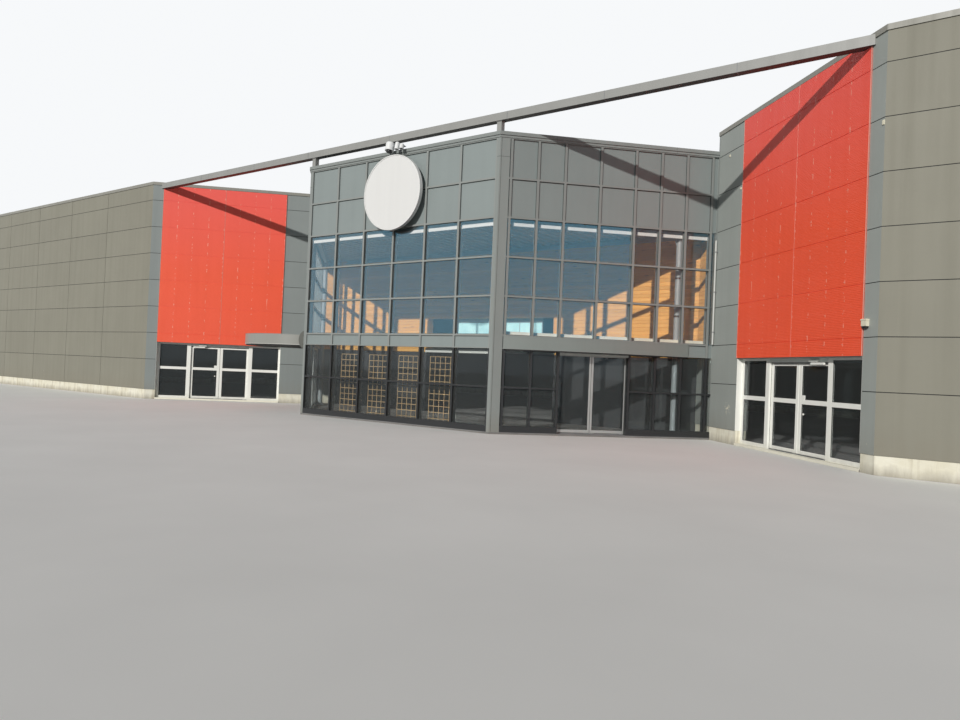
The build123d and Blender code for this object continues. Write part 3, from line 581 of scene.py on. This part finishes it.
# hall wall lining: rows of boards of random length, each with its edges cut back, on a thin backing
lining = {"pitch": 0.054, "low": 1.08, "high": 2.815, "front": hallY - 0.02, "back": hallY - 0.0005, "backing": 0.0055,
          "opening": 1.30, "head": 1.69, "gap": 0.0012, "joint": 0.0004, "shortest": 1.5, "longest": 2.6, "least": 0.4,
          "returnTop": 2.69, "returns": (-0.395, -0.093)}
random = np.random.default_rng(7)
boxes = []
reach, wide, head = cornerX - hallY + cornerY, lining["opening"], lining["head"]
z = lining["low"]
while z < lining["high"] - 0.01:
    top = min(z + lining["pitch"], lining["high"])
    for start, end in ([(-reach, -wide), (wide, reach)] if z < head - 0.01 else [(-reach, reach)]):
        x = start
        while x < end - 0.02:
            stop = min(x + random.uniform(lining["shortest"], lining["longest"]), end)
            if end - stop < lining["least"]:
                stop = end
            boxes.append([x + lining["gap"], stop - lining["gap"], lining["front"], lining["back"] - 0.004,
                          z + lining["joint"], top - lining["joint"]])
            x = stop
    z = top
depth = [lining["back"] - lining["backing"], lining["back"]]
boardParts = [bars("front", boxes, 0.004), bars("front", [
    [-reach, -wide, *depth, lining["low"], lining["high"]], [wide, reach, *depth, lining["low"], lining["high"]],
    [-wide, wide, *depth, head, lining["high"]]], 0.0005)]
# the same boards on the short returns beside the glass, up to the underside of the edge beam
top = lining["returnTop"]
for face in angleFaces:
    boardParts.append(bars(face, [
        [*lining["returns"], -0.020, -0.0045, z + lining["joint"], min(z + lining["pitch"], top) - lining["joint"]]
        for z in np.arange(lining["low"], top - 0.03, lining["pitch"])], 0.004))
    boardParts.append(bars(face, [*lining["returns"], -0.006, -0.0005, lining["low"], top], 0.0005))
piece = makePiece("timberBoards", boardParts, "pine lining")
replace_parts(piece, "timber_lining")

# timber surround of the opening into the hall: two jamb boards and a head board
surround = {"thick": 0.018, "depth": (hallY - 0.028, hallY + 0.145)}
thick, depth = surround["thick"], surround["depth"]
makePiece("openingSurround", [
    bars("front", [[x, x + thick, *depth, lining["low"], head] for x in (-wide, wide - thick)], 0.003, axis=2),
    bars("front", [-wide + thick, wide - thick, *depth, head - thick, head], 0.003)], "pine lining")

# a pale screen hangs in the opening, under a steel head, with thin bars between its panes; the panes glow, a painted
# light that stands in for the light and reflections beyond the opening
screen = {"start": -0.72, "end": 1.00, "low": 1.36, "high": 1.60, "head": 1.669, "y": hallY + 0.110, "bars": 4,
          "half": 0.006, "paintedGlow": 0.42, "tones": ((0.34, 0.62, 0.66), (0.50, 0.80, 0.82))}
graph = newMaterial("hall screen")
tint = graph.mix(graph.ramp(graph.noise(graph.place(), 3.5, 3), 0.3, 0.7), *screen["tones"])
# painted light: the panes glow with their own colour
graph.finish({"Base Color": tint, "Roughness": 0.25, "Emission Color": tint, "Emission Strength": screen["paintedGlow"]})
marks = np.linspace(screen["start"], screen["end"], screen["bars"] + 1)
y, inset, low, high = screen["y"], screen["half"], screen["low"], screen["high"]
makePiece("hallScreen", [bars("front", [[a + inset, b - inset, y, y + 0.006, low, high]
                                        for a, b in zip(marks, marks[1:])], 0.001)], "hall screen")
ends = [screen["start"] - inset, screen["end"] + inset]
makePiece("hallScreenBars", [
    bars("front", [[x - inset, x + inset, y - 0.004, y + 0.010, low, high] for x in marks], 0.001, axis=2),
    bars("front", [[*ends, y - 0.006, y + 0.012, high, screen["head"]],
                   [*ends, y - 0.004, y + 0.010, low - 0.016, low]], 0.002)], "wall beam")

# steel channel over the boards: a web and two flanges
channel = {"low": 2.742, "high": 2.806, "thick": 0.006, "reach": 0.045, "half": 3.38}
low, high, thick = channel["low"], channel["high"], channel["thick"]
back, web, out = (lining["front"] - away for away in (0.0005, 0.0065, channel["reach"]))
profile = [(back, low), (out, low), (out, low + thick), (web, low + thick), (web, high - thick), (out, high - thick),
           (out, high), (back, high)]
makePiece("wallRail", [swept("front", profile, [[-channel["half"], channel["half"]]])], "wall beam")
print("stage: timber made")

# inside the upper glass, as (front, back, low, high): a cream sill board along each side, a white strip in each bay
# on the edge beam, its bright white partly a painted highlight for the sunlit flange edge, and a steel cheek over the
# strips
inner = {"sill": (0.091, 0.111, 1.252, 1.308), "strip": (0.072, 0.088, 2.654, 2.700),
         "cheek": (0.0915, 0.0945, 2.7005, 2.747), "end": 0.02, "bay": 0.018}
sills, strips, cheeks = [], [], []
for face, marks in glazed:
    span = [marks[0] + inner["end"], marks[-1] - inner["end"]]
    if face != "front":
        sills.append(bars(face, [*span, *inner["sill"]], 0.003))
    strips.append(bars(face, [[a + inner["bay"], b - inner["bay"], *inner["strip"]]
                              for a, b in zip(marks, marks[1:])], 0.003))
    cheeks.append(bars(face, [*span, *inner["cheek"]], 0.001))
makePiece("sillBoards", sills, "cream board")
# painted highlight in part: the strips' near white stands in for the sunlit flange edge
makePiece("beamStrips", strips, "bright white")
makePiece("headCheeks", cheeks, "wall beam")

# white boards behind the top of the ground floor glass, beside the corner on the right
headers = (("front", frontMullions, (4, 5), (0.0915, 0.102, 1.012, 1.068), 0.002),
           ("rightSide", sideMullions, (0, 1), (0.0915, 0.0955, 1.030, 1.068), 0.001))
makePiece("headerBoards", [bars(face, [[marks[k] + 0.03, marks[k + 1] - 0.03, *box] for k in bays], chamfer)
                           for face, marks, bays, box, chamfer in headers], "white frame")

# black gaskets beside every outer bar and transom, standing a little off the glass and the panels
gasket = {"width": 0.004, "depth": (0.016, 0.0215), "barHalf": 0.015, "transomHalf": 0.012, "high": 3.748, "rows": 5}
width, depth, beside = gasket["width"], gasket["depth"], gasket["transomHalf"]
levels = [plan["fasciaTop"] + plan["module"] * k for k in range(gasket["rows"])]
gaskets = []
for face, marks in glazed:
    bays = [(a + gasket["barHalf"], b - gasket["barHalf"]) for a, b in zip(marks, marks[1:])]
    gaskets.append(bars(face, [[x, x + width, *depth, plan["fasciaTop"] + beside, gasket["high"]]
                               for a, b in bays for x in (a, b - width)], 0.001, axis=2))
    gaskets.append(bars(face, [[a, b, *depth, low, low + width] for a, b in bays for z in levels
                               for low in (z + beside, z - beside - width)], 0.001))
makePiece("glazingGaskets", gaskets, "gasket rubber")
print("stage: glazing details made")

# sign: a slightly domed white face with a turned edge, screw heads round the edge, and flanges on its four legs
sign = {"x": 0.05, "z": 3.215, "face": 0.1226, "dome": 0.002, "screws": 24, "screwRing": 0.5178, "legs": (-0.25, 0.25),
        "screw": ((0.0035, 0.1266), (0.0035, 0.1280), (0.0026, 0.1288), (0.0005, 0.1290)),
        "flanges": (((0.034, -0.0202), (0.034, -0.016), (0.032, -0.014), (0.0175, -0.0135), (0.0175, -0.0202)),
                    ((0.030, 0.0685), (0.030, 0.0717), (0.0175, 0.0717), (0.0175, 0.0675)))}
forwards = (0, -1, 0)
centre = np.array([sign["x"], 0, sign["z"]])
radii = np.concatenate([[0.5095, 0.5095, 0.507, 0.500], np.linspace(0.49, 0.0005, 14)])
dome = sign["face"] + sign["dome"] * (1 - (radii[4:] / 0.5) ** 2)
heights = np.concatenate([sign["face"] - np.array([0.0014, 0.0010, 0.0003, 0.0]), dome])
makePiece("signFace", [turned(centre, forwards, np.stack([radii, heights], 1), 96)], "sign face",
          smooth=True)
turns = 2 * math.pi * (np.arange(sign["screws"]) + 0.5) / sign["screws"]
makePiece("signScrews", [turned(centre + sign["screwRing"] * np.array([math.cos(turn), 0, math.sin(turn)]), forwards,
                                sign["screw"], 10) for turn in turns], "sign rim")
makePiece("signFlanges", [turned(centre + np.array([dx, 0, dz]), forwards, profile, 24, ring=True)
                          for dx in sign["legs"] for dz in sign["legs"] for profile in sign["flanges"]],
          "sign rim")

# lamps over the sign: a bracket on the coping, a fat can on the left and two smaller ones, as (x, top, radius,
# length, how far the eye stands out)
lamps = {"y": -0.0886, "tilt": 12.0, "bar": (-0.045, 0.195), "levels": (3.858, 3.870), "foot": 3.79,
         "cans": ((-0.033, 3.925, 0.062, 0.120, 0.026), (0.100, 3.915, 0.031, 0.105, -0.003),
                  (0.183, 3.880, 0.031, 0.070, -0.003)),
         "hinge": ((0.001, 0), (0.009, 0.0005), (0.009, 0.0195), (0.001, 0.020))}
shells, eyes = [], []
tilt = math.radians(lamps["tilt"])
down = np.array([0, -math.sin(tilt), -math.cos(tilt)])
low, high = lamps["levels"]
bracket = [bars("front", [*lamps["bar"], -0.032, -0.0205, low, high], 0.0025),
           bars("front", [[0.094, 0.106, -0.032, -0.0205, lamps["foot"], high],
                          [0.077, 0.123, -0.0245, -0.0203, 3.793, 3.829]], 0.0015, axis=2)]
for x, top, r, length, reach in lamps["cans"]:
    spot = np.array([x, lamps["y"], top])
    shells.append(turned(spot, down, [
        (0.15 * r, -0.003), (0.62 * r, -0.002), (0.93 * r, 0.004), (r, 0.012), (r, length - 0.016),
        (1.03 * r, length - 0.014), (1.03 * r, length - 0.003), (r, length), (0.86 * r, length),
        (0.80 * r, length - 0.010), (0.02 * r, length - 0.011)], 40))
    eyes.append(turned(spot, down, [
        (0.01 * r, length - 0.012), (0.60 * r, length - 0.0105), (0.60 * r, length + reach - 0.006),
        (0.50 * r, length + reach - 0.001), (0.25 * r, length + reach), (0.01 * r, length + reach + 0.0005)], 32))
    bracket.append(bars("front", [x - 0.006, x + 0.006, -0.092, -0.028, low + 0.002, high - 0.002], 0.002, axis=1))
    bracket.append(turned([x - 0.010, lamps["y"] + r + 0.010, (low + high) / 2], (1, 0, 0), lamps["hinge"], 16))
piece = makePiece("lampShells", shells, "lamp shell")
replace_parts(piece, "sign_lamps")
makePiece("lampEyes", eyes, "dark mullion", smooth=True)
makePiece("lampBracket", bracket, "gear metal")
print("stage: sign and lamps made")

# sliding leaves: stiles, rails and running shoes round a clear pane with a black seal
leafShape = {"bottom": 0.040, "top": 0.026, "thick": 0.024, "low": 0.037, "shoe": 0.040, "drop": 0.0057,
             "seal": 0.004, "sealHalf": 0.006}
leafKinds = {
    "entrance": {"near": 0.106, "high": 1.014, "stile": 0.048, "rails": [(0.575, 0.625)], "metal": "white frame",
                 "slot": "white_leaf"},
    "pavilion": {"near": 0.096, "high": 1.054, "stile": 0.026, "rails": [], "metal": "leaf metal",
                 "slot": "leaf_aluminium"},
}
lockShape = {"cover": (0.033, 0.099), "levels": (0.624, 0.672), "knobAt": 0.080, "knobZ": 0.468,
             "knob": ((0.012, -0.001), (0.012, 0.005), (0.009, 0.0085), (0.0005, 0.009))}


def sealFrame(face, left, right, middle, low, high):
    # four thin bars just inside a rectangle
    width, depth = leafShape["seal"], [middle - leafShape["sealHalf"], middle + leafShape["sealHalf"]]
    return [bars(face, [[x, x + width, *depth, low, high] for x in (left, right - width)], 0.001, axis=2),
            bars(face, [[left + width, right - width, *depth, z, z + width] for z in (low, high - width)], 0.001)]


def makeLeaf(node, face, start, end, kind, lock=False):
    near, high, stile, low = kind["near"], kind["high"], kind["stile"], leafShape["low"]
    far = near + leafShape["thick"]
    middle = (near + far) / 2
    left, right = start + stile, end - stile
    rows = [(low, low + leafShape["bottom"]), (high - leafShape["top"], high), *kind["rails"]]
    parts = [bars(face, [[start, left, near, far, low, high], [right, end, near, far, low, high]], 0.002, axis=2),
             bars(face, [[left, right, near, far, *row] for row in rows], 0.002),
             bars(face, [[x, x + leafShape["shoe"], middle - 0.004, middle + 0.004, low - leafShape["drop"], low]
                         for x in (left, right - leafShape["shoe"])], 0.001)]
    if lock:
        # a lock cover over the rail at the meeting edge, and a knob on the pane under it
        cover = [start + x for x in lockShape["cover"]]
        parts.append(bars(face, [*cover, near - 0.001, far - 0.006, *lockShape["levels"]], 0.0015))
        spot = onFace(face, [start + lockShape["knobAt"], middle - 0.003, lockShape["knobZ"]])
        parts.append(turned(spot, outOf(face), lockShape["knob"], 20))
    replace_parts(makePiece(node + "_frame", parts, kind["metal"], body=node), node)
    pane = bars(face, [start + 0.02, end - 0.02, middle - 0.003, middle + 0.003, low + 0.03, high - 0.02], 0.0008)
    makePiece(node + "_pane", [pane], "ground glass", body=node)
    marks = sorted(rows)
    seals = [part for below, above in zip(marks, marks[1:])
             for part in sealFrame(face, left, right, middle, below[1], above[0])]
    makePiece(node + "_seals", seals, "gasket rubber", body=node)


entrance = {"start": 0.655, "end": 2.920, "face": 0.075, "depth": 0.025, "lap": 0.005, "post": 0.070, "meet": 0.003,
            "edge": 0.048, "halfPost": 0.035, "panes": ((0.073, 0.575), (0.625, 1.045))}
start, end, near = entrance["start"], entrance["end"], entrance["face"]
bay = (end - start) / 4
first = start + bay + entrance["post"] / 2 - entrance["lap"]
last = end - bay - entrance["post"] / 2 + entrance["lap"]
centreX = (first + last) / 2
doorStart, doorMiddle, doorEnd = sideMullions[2:5]
for side in bothSides:
    makeLeaf("entrance_leaf_" + side + "_inner", side + "Angle", first, centreX - entrance["meet"],
             leafKinds["entrance"])
    makeLeaf("entrance_leaf_" + side + "_outer", side + "Angle", centreX + entrance["meet"], last,
             leafKinds["entrance"], lock=True)
    makeLeaf("pavilion_leaf_" + side + "_front", side + "Side", doorStart, doorMiddle - entrance["meet"],
             leafKinds["pavilion"])
    makeLeaf("pavilion_leaf_" + side + "_back", side + "Side", doorMiddle + entrance["meet"], doorEnd,
             leafKinds["pavilion"])
print("stage: sliding leaves made")

# fittings of the entrances: white jamb linings, a sensor on the head, black seals round the fixed glass and a sill
fittings, seals, sillPlates = [], [], []
glass = near + entrance["depth"] / 2
fitting = {"lining": 0.004, "levels": (0.181, 1.069), "sensor": (2.03, 2.17, 0.046, near, 1.030, 1.052),
           "strip": (2.06, 2.27, 0.050, near, 0.998, 1.022), "sillTop": 0.030}
for face in angleFaces:
    fittings.append(bars(face, [[*ends, 0.001, near - 0.0002, *fitting["levels"]] for ends in (
        (start + 0.0002, start + fitting["lining"]), (end - fitting["lining"], end - 0.0002))], 0.0008, axis=2))
    fittings += [bars(face, fitting["sensor"], 0.005), bars(face, fitting["strip"], 0.004)]
    for left, right in ((start + entrance["edge"], start + bay - entrance["halfPost"]),
                        (end - bay + entrance["halfPost"], end - entrance["edge"])):
        for low, high in entrance["panes"]:
            seals += sealFrame(face, left, right, glass, low, high)
    sillPlates.append(bars(face, [[start + 0.001, end - 0.001, 0.0005, near - 0.0003, 0.0252, fitting["sillTop"]],
                                  [start + 0.001, end - 0.001, -0.004, -0.0002, 0.0005, fitting["sillTop"]]], 0.001))
makePiece("entranceTrims", fittings, "white frame")
makePiece("entranceSills", sillPlates, "cream board")
makePiece("entranceSeals", seals, "gasket rubber")

# cladding joints: a dark seal at the bottom of each one
joint = {"half": 0.0039, "front": 0.004, "uprightFront": 0.0042, "back": 0.0059, "chamfer": 0.0005}


def levelSeals(face, spans):
    return bars(face, [[*span, joint["front"], joint["back"], z - joint["half"], z + joint["half"]]
                       for z in jointLevels for span in spans], joint["chamfer"])


wingMarks = [plan["firstBay"] + plan["wingBay"] * k for k in range(plan["wingBays"])]
endMarks = [plan["wingBay"] * k for k in range(1, 8)]
rearCount = round(2 * endX / plan["wingBay"])
rearMarks = [2 * endX * k / rearCount for k in range(1, rearCount)]
wallTop = plan["claddingTop"] - 0.001
seals = []
for face, length, marks in (("rightWing", endX - cornerX, wingMarks), ("leftWing", endX - cornerX, wingMarks),
                            ("rightEnd", plan["depth"], endMarks), ("leftEnd", plan["depth"], endMarks),
                            ("rear", 2 * endX, rearMarks)):
    seals.append(levelSeals(face, [(0.001, length - 0.001)]))
    seals.append(bars(face, [[x - joint["half"], x + joint["half"], joint["uprightFront"], joint["back"],
                              plan["plinthTop"] + 0.001, wallTop] for x in marks], joint["chamfer"], axis=2))
for face in angleFaces:
    seals.append(levelSeals(face, [(0.002, start), (end, plan["angleLength"] - 0.002)]))
makePiece("jointSeals", seals, "gasket rubber")

# wall fittings: a cream box with a lid and small plates on the right, a dark strip under the box as its painted
# shadow, and trims and pipes in both inward corners
wallFittings = {
    "box": (2.925, 2.992, -0.034, 0.0, 1.352, 1.418), "lid": (2.921, 2.996, -0.038, 0.0, 1.404, 1.420),
    "plates": ((3.086, 3.108, -0.011, 0.0, 3.18, 3.225), (0.285, 0.307, -0.010, 0.0, 3.685, 3.712),
               (0.590, 0.612, -0.010, 0.0, 3.188, 3.216)),
    "base": (2.932, 2.985, -0.030, 0.0, 1.334, 1.352), "trim": (0.0005, 0.030, -0.003, 0.0),
    "pipeAt": (0.050, -0.026), "clip": (0.034, 0.066, -0.040, 0.0), "clips": (1.42, 1.95, 2.48),
    "pipe": ((0.0005, 0), (0.0115, 0.0), (0.0120, 0.001), (0.0120, 1.372), (0.0105, 1.378), (0.0005, 1.378)),
}
footZ = plan["fasciaTop"] + 0.012
makePiece("wallBoxes", [bars("rightAngle", wallFittings[key], chamfer)
                        for key, chamfer in (("box", 0.004), ("lid", 0.003), ("plates", 0.003))],
          "wall box")
# painted shadow: a dark strip under the box
makePiece("wallBoxShadow", [bars("rightAngle", wallFittings["base"], 0.003)], "gasket rubber")
makePiece("edgeTrims", [bars(face, [*wallFittings["trim"], footZ, wallTop], 0.001, axis=2)
                        for face in angleFaces], "corner sheet")
pipes, clips = [], []
for face in angleFaces:
    foot = onFace(face, [*wallFittings["pipeAt"], footZ])
    pipes.append(turned(foot, (0, 0, 1), wallFittings["pipe"], 20))
    clips.append(bars(face, [[*wallFittings["clip"], z, z + 0.012] for z in wallFittings["clips"]], 0.002))
makePiece("cornerPipes", pipes, "pipe metal")
makePiece("pipeClips", clips, "gear metal")

# half-round end plate of the left canopy, with its bolts
endPlate = {"along": 0.377, "thick": 0.007, "reach": 0.105, "rise": 0.150, "z": 1.165, "boltIn": -0.03, "boltUp": 0.07,
            "bolt": ((0.008, -0.002), (0.008, 0.003), (0.005, 0.005), (0.0005, 0.0055))}
turn = np.linspace(-math.pi / 2, math.pi / 2, 33)
outline = np.stack([-endPlate["reach"] * np.cos(turn), endPlate["z"] + endPlate["rise"] * np.sin(turn)], 1)
near = endPlate["along"] - endPlate["thick"]
makePiece("canopyPlate", [swept("leftSide", outline, [[near, endPlate["along"]]])], "end plate metal")
makePiece("canopyBolts", [
    turned(onFace("leftSide", [near, endPlate["boltIn"], endPlate["z"] + up]), (half, -half, 0), endPlate["bolt"], 12)
    for up in (endPlate["boltUp"], -endPlate["boltUp"])], "soffit sheet")

# canopies: a slim lip along the upper and lower edge of each bowed front, the left one's lower lip in pale metal as a
# painted highlight, and a soffit coloured near black as painted shade
canopies = {"right": ("rightSide", 0.140, 2.637, 0.150), "left": ("leftSide", 0.385, 2.585, 1.080),
            "lip": ((-0.001, 0.0), (0.0025, 0.0), (0.0025, 0.007), (-0.001, 0.007)), "lipLow": 1.0802,
            "lipHigh": 1.2426, "soffitTop": 1.0798, "rightSoffit": (0.010, 1.066), "leftSoffit": (0.012, 1.064),
            "clear": -0.004}


def bowArc(start, end, rise, inset, offset=0.0):
    # points on the arc through both ends and the middle, moved inwards by the inset and outwards by the offset
    radius = ((end - start) ** 2 / 4 + rise ** 2) / (2 * rise)
    spread = math.asin(((end - start) / 2 - inset) / (radius - inset))
    turn = np.linspace(-spread, spread, 65)
    r = radius - inset + offset
    return np.stack([(start + end) / 2 + r * np.sin(turn), radius - rise - r * np.cos(turn)], 1)


def bowedLip(canopy, z):
    # the lip's section carried round the bow
    face, *bow = canopies[canopy]
    rows = [np.column_stack([bowArc(*bow, 0.0, away), np.full(65, z + up)]) for away, up in canopies["lip"]]
    return placed(face, np.stack(rows, 1), backwards(shell(4, 65)))


def bowedPlate(canopy, inset, low):
    # flat plate inside the bow, closed by the line to the glass
    face, *bow = canopies[canopy]
    edge = bowArc(*bow, inset)
    edge[:, 1] = np.minimum(edge[:, 1], canopies["clear"])
    points = np.stack([np.column_stack([edge, np.full(65, z)]) for z in (low, canopies["soffitTop"])])
    return placed(face, points, shell(65))


low, high = canopies["lipLow"], canopies["lipHigh"]
makePiece("canopyLips", [bowedLip("right", low), bowedLip("right", high), bowedLip("left", high)], "corner sheet")
# painted highlight: the left canopy's lower lip is pale along its edge
makePiece("canopyHighlightLip", [bowedLip("left", low)], "lip highlight metal")
# painted shade: the soffits are near black
makePiece("canopySoffits", [bowedPlate(side, *canopies[side + "Soffit"]) for side in bothSides], "soffit sheet")

# long beam: sleeves over its joints, and plates with bolts at the posts' ends
longBeam = {"sleeves": (-4.7, -3.2, -1.86, -0.15, 1.86, 3.2, 4.7), "sleeve": (-0.0012, 0.1012, 3.9738, 4.0762),
            "posts": (-1.735, 1.735), "foot": (0.052, 0.002, 0.098, 3.8352, 3.8412),
            "head": (0.045, 0.006, 0.094, 3.969, 3.9748), "boltX": (-0.043, 0.043), "boltY": (0.011, 0.089),
            "bolt": ((0.0055, 0), (0.0055, 0.004), (0.0035, 0.0055), (0.0005, 0.0055))}
makePiece("beamSleeves", [bars("front", [[x - 0.004, x + 0.004, *longBeam["sleeve"]] for x in longBeam["sleeves"]],
                               0.001)], "gear metal")
plates = [bars("front", [x - longBeam[key][0], x + longBeam[key][0], *longBeam[key][1:]], 0.0015)
          for x in longBeam["posts"] for key in ("foot", "head")]
plates += [turned((x + dx, y, longBeam["foot"][-1]), (0, 0, 1), longBeam["bolt"], 6)
           for x in longBeam["posts"] for dx in longBeam["boltX"] for y in longBeam["boltY"]]
makePiece("postPlates", plates, "post sheet")

# corner covers: a level joint below the coping and the dark return beside the front's glazing
coverJoint = {"level": (-0.0008, 0.003, 3.516, 3.5195), "front": (1.7305, 1.7745), "side": (0.0005, 0.1295),
              "upright": (0.018, 0.0215, -0.0006, 0.003, 0.03, 3.757), "chamfer": 0.0005}
low, high = coverJoint["front"]
cover = [bars("front", [*ends, *coverJoint["level"]], coverJoint["chamfer"]) for ends in ((low, high), (-high, -low))]
for face in sideFaces:
    cover.append(bars(face, [*coverJoint["side"], *coverJoint["level"]], coverJoint["chamfer"]))
    cover.append(bars(face, coverJoint["upright"], coverJoint["chamfer"], axis=2))
makePiece("coverJoints", cover, "gasket rubber")

# columns: dark rings on the shaft that are painted shadows of the transoms, a base cover, and brackets to the edge
# beam
columns = {"along": 2.528, "inward": 0.160, "radius": 0.040, "reach": 0.050, "levels": (2.56, 2.686), "thick": 0.003,
           "shadowBands": (1.61, 2.12), "shadowBand": ((0.0415, 0), (0.0455, 0.001), (0.0455, 0.027), (0.0415, 0.028)),
           "base": ((0.0415, 0.0), (0.060, 0.0), (0.060, 0.006), (0.0415, 0.012)), "baseZ": 0.033}
brackets, shadowBands = [], []
low, high = columns["levels"]
for face in sideFaces:
    spot = onFace(face, [columns["along"], columns["inward"], 0.0])
    # painted shadow: dark rings where the transoms' shadows fall on the shaft
    for z in columns["shadowBands"]:
        shadowBands.append(turned(spot + [0, 0, z], (0, 0, 1), columns["shadowBand"], 32, ring=True))
    brackets.append(turned(spot + [0, 0, columns["baseZ"]], (0, 0, 1), columns["base"], 32, ring=True))
    for way in (-1, 1):
        x0, x1 = (columns["along"] + way * r for r in (columns["radius"], columns["radius"] + columns["reach"]))
        sheet = (columns["inward"] - columns["thick"], columns["inward"] + columns["thick"])
        verts = np.array([[x, y, z] for y in sheet
                          for x, z in ((x0, low), (x0, high), (x1, high))])
        polys = [np.array([[0, 2, 1], [3, 4, 5]]), np.array([[0, 1, 4, 3], [1, 2, 5, 4], [2, 0, 3, 5]])]
        brackets.append(placed(face, verts, backwards(polys) if way < 0 else polys))
makePiece("columnBrackets", brackets, "steel paint")
makePiece("columnShadowBands", shadowBands, "dark mullion")

# trellis: upright laths in front, level laths behind, with rounded edges
trellis = {"width": 0.450, "height": 0.935, "bar": 0.009, "front": 0.165, "cross": 0.1696, "back": 0.174,
           "columns": 5, "rows": 11, "bays": (1, 2, 3, 4)}
laths = []
bar, foot = trellis["bar"], plan["slabTop"]
across = (trellis["width"] - bar) / trellis["columns"]
upward = (trellis["height"] - bar) / trellis["rows"]
for k in trellis["bays"]:
    left = (frontMullions[k] + frontMullions[k + 1]) / 2 - trellis["width"] / 2
    laths.append(bars("front", [[left + across * k, left + across * k + bar, trellis["front"], trellis["cross"],
                                 foot, foot + trellis["height"]] for k in range(trellis["columns"] + 1)],
                      0.0016, axis=2))
    laths.append(bars("front", [[left, left + trellis["width"], trellis["cross"] - 0.0004, trellis["back"],
                                 foot + upward * k, foot + upward * k + bar] for k in range(trellis["rows"] + 1)],
                      0.0016))
piece = makePiece("trellisLaths", laths, "lath wood")
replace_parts(piece, "trellis_screens")

# fine wire spikes against birds on the copings of the pavilion's sides
spikes = {"start": 1.1, "end": 2.9, "pitch": 0.016, "radius": 0.0007, "height": 0.020, "inward": 0.03, "foot": 3.8345,
          "rail": (1.08, 2.92, 0.022, 0.038, 3.8351, 3.8366)}
count = int((spikes["end"] - spikes["start"]) / spikes["pitch"])
along, row = np.linspace(spikes["start"], spikes["end"], count), np.arange(count) % 3 - 1
wires = []
for face in sideFaces:
    foot = np.stack([along, spikes["inward"] + 0.006 * row, np.full(count, spikes["foot"])], 1)
    lean = np.stack([random.normal(0, 0.004, count), 0.010 * row,
                     spikes["height"] * random.uniform(0.75, 1.0, count)], 1)
    wires.append(tubes(onFace(face, foot), onFace(face, foot + lean), spikes["radius"], 4))
wires += [bars(face, spikes["rail"], 0.0004) for face in sideFaces]
makePiece("birdSpikes", wires, "sign rim")
print("stage: fittings made")

# camera where the photograph was taken from
shot = {"place": (6.961, -7.488, 0.8035), "ahead": (-0.5824, 0.8129), "pitch": 0.770, "roll": 2.377, "lens": 27.09}
pitch, roll = math.radians(shot["pitch"]), math.radians(shot["roll"])
straightUp = Vector((0, 0, 1))
forward = Vector((*shot["ahead"], 0)).normalized() * math.cos(pitch) + straightUp * math.sin(pitch)
level = forward.cross(straightUp).normalized()
upright = level.cross(forward)
rightway = level * math.cos(roll) + upright * math.sin(roll)
upway = upright * math.cos(roll) - level * math.sin(roll)
data = bpy.data.cameras.new("camera")
data.lens, data.sensor_width, data.clip_start, data.clip_end = shot["lens"], 36, 0.05, 400
camera = newObject("camera", data)
camera.matrix_world = Matrix.Translation(shot["place"]) @ Matrix((rightway, upway, -forward)).transposed().to_4x4()
bpy.context.scene.camera = camera

# pale floor and backdrop, one soft key lamp from the front, and a level sky
light = {"keyStrength": 2.75, "keyColor": (1.0, 0.97, 0.92), "keyAngle": 1.0, "keyWay": (-0.115, 1.0, -0.43),
         "skyStrength": 0.14, "skyColor": (0.84, 0.92, 1.0), "backdrop": (0.93, 0.945, 0.96),
         "floor": (0.86, 0.86, 0.85), "bounce": (0.36, 0.36, 0.36),
         "floorBox": (-150, 150, -150, 160), "floorZ": -0.001}
data = bpy.data.lights.new("key", "SUN")
data.energy, data.color, data.angle = light["keyStrength"], light["keyColor"], math.radians(light["keyAngle"])
key = newObject("key", data)
key.rotation_mode = "QUATERNION"
key.rotation_quaternion = Vector(light["keyWay"]).to_track_quat("-Z", "Y")

world = bpy.data.worlds.new("studio")
bpy.context.scene.world = world
world.use_nodes = True
world.node_tree.nodes.clear()
graph = Graph(world.node_tree)
sky = graph.add("Background", {"Color": light["skyColor"], "Strength": light["skyStrength"]})
seen = graph.add("Background", {"Color": light["backdrop"], "Strength": 1.0})
path = graph.add("LightPath").outputs
shown = graph.math("MAXIMUM", path["Is Camera Ray"], path["Is Transmission Ray"])
shown = graph.math("MAXIMUM", shown, path["Is Glossy Ray"])
mixed = graph.add("MixShader", {0: shown, 1: sky.outputs[0], 2: seen.outputs[0]})
graph.add("OutputWorld", {0: mixed.outputs[0]})

# the floor is pale to the eye and in the glass, and throws less light back on the walls
graph = newMaterial("studio floor")
tone = graph.ramp(graph.noise(graph.place(), 0.8, 3), 0.3, 0.7, 0.97, 1.03)
floorTone = graph.mix(graph.add("LightPath").outputs["Is Diffuse Ray"], light["floor"], light["bounce"])
graph.finish({"Base Color": graph.toned(floorTone, tone), "Roughness": 0.85})
x0, x1, y0, y1 = light["floorBox"]
mesh = bpy.data.meshes.new("studioFloor")
mesh.from_pydata([(x, y, light["floorZ"]) for x, y in ((x0, y0), (x1, y0), (x1, y1), (x0, y1))], [], [(0, 1, 2, 3)])
mesh.materials.append(bpy.data.materials["studio floor"])
floor = newObject("studioFloor", mesh)
bpy.context.scene.view_settings.view_transform = "Standard"
print("stage: camera and light made")
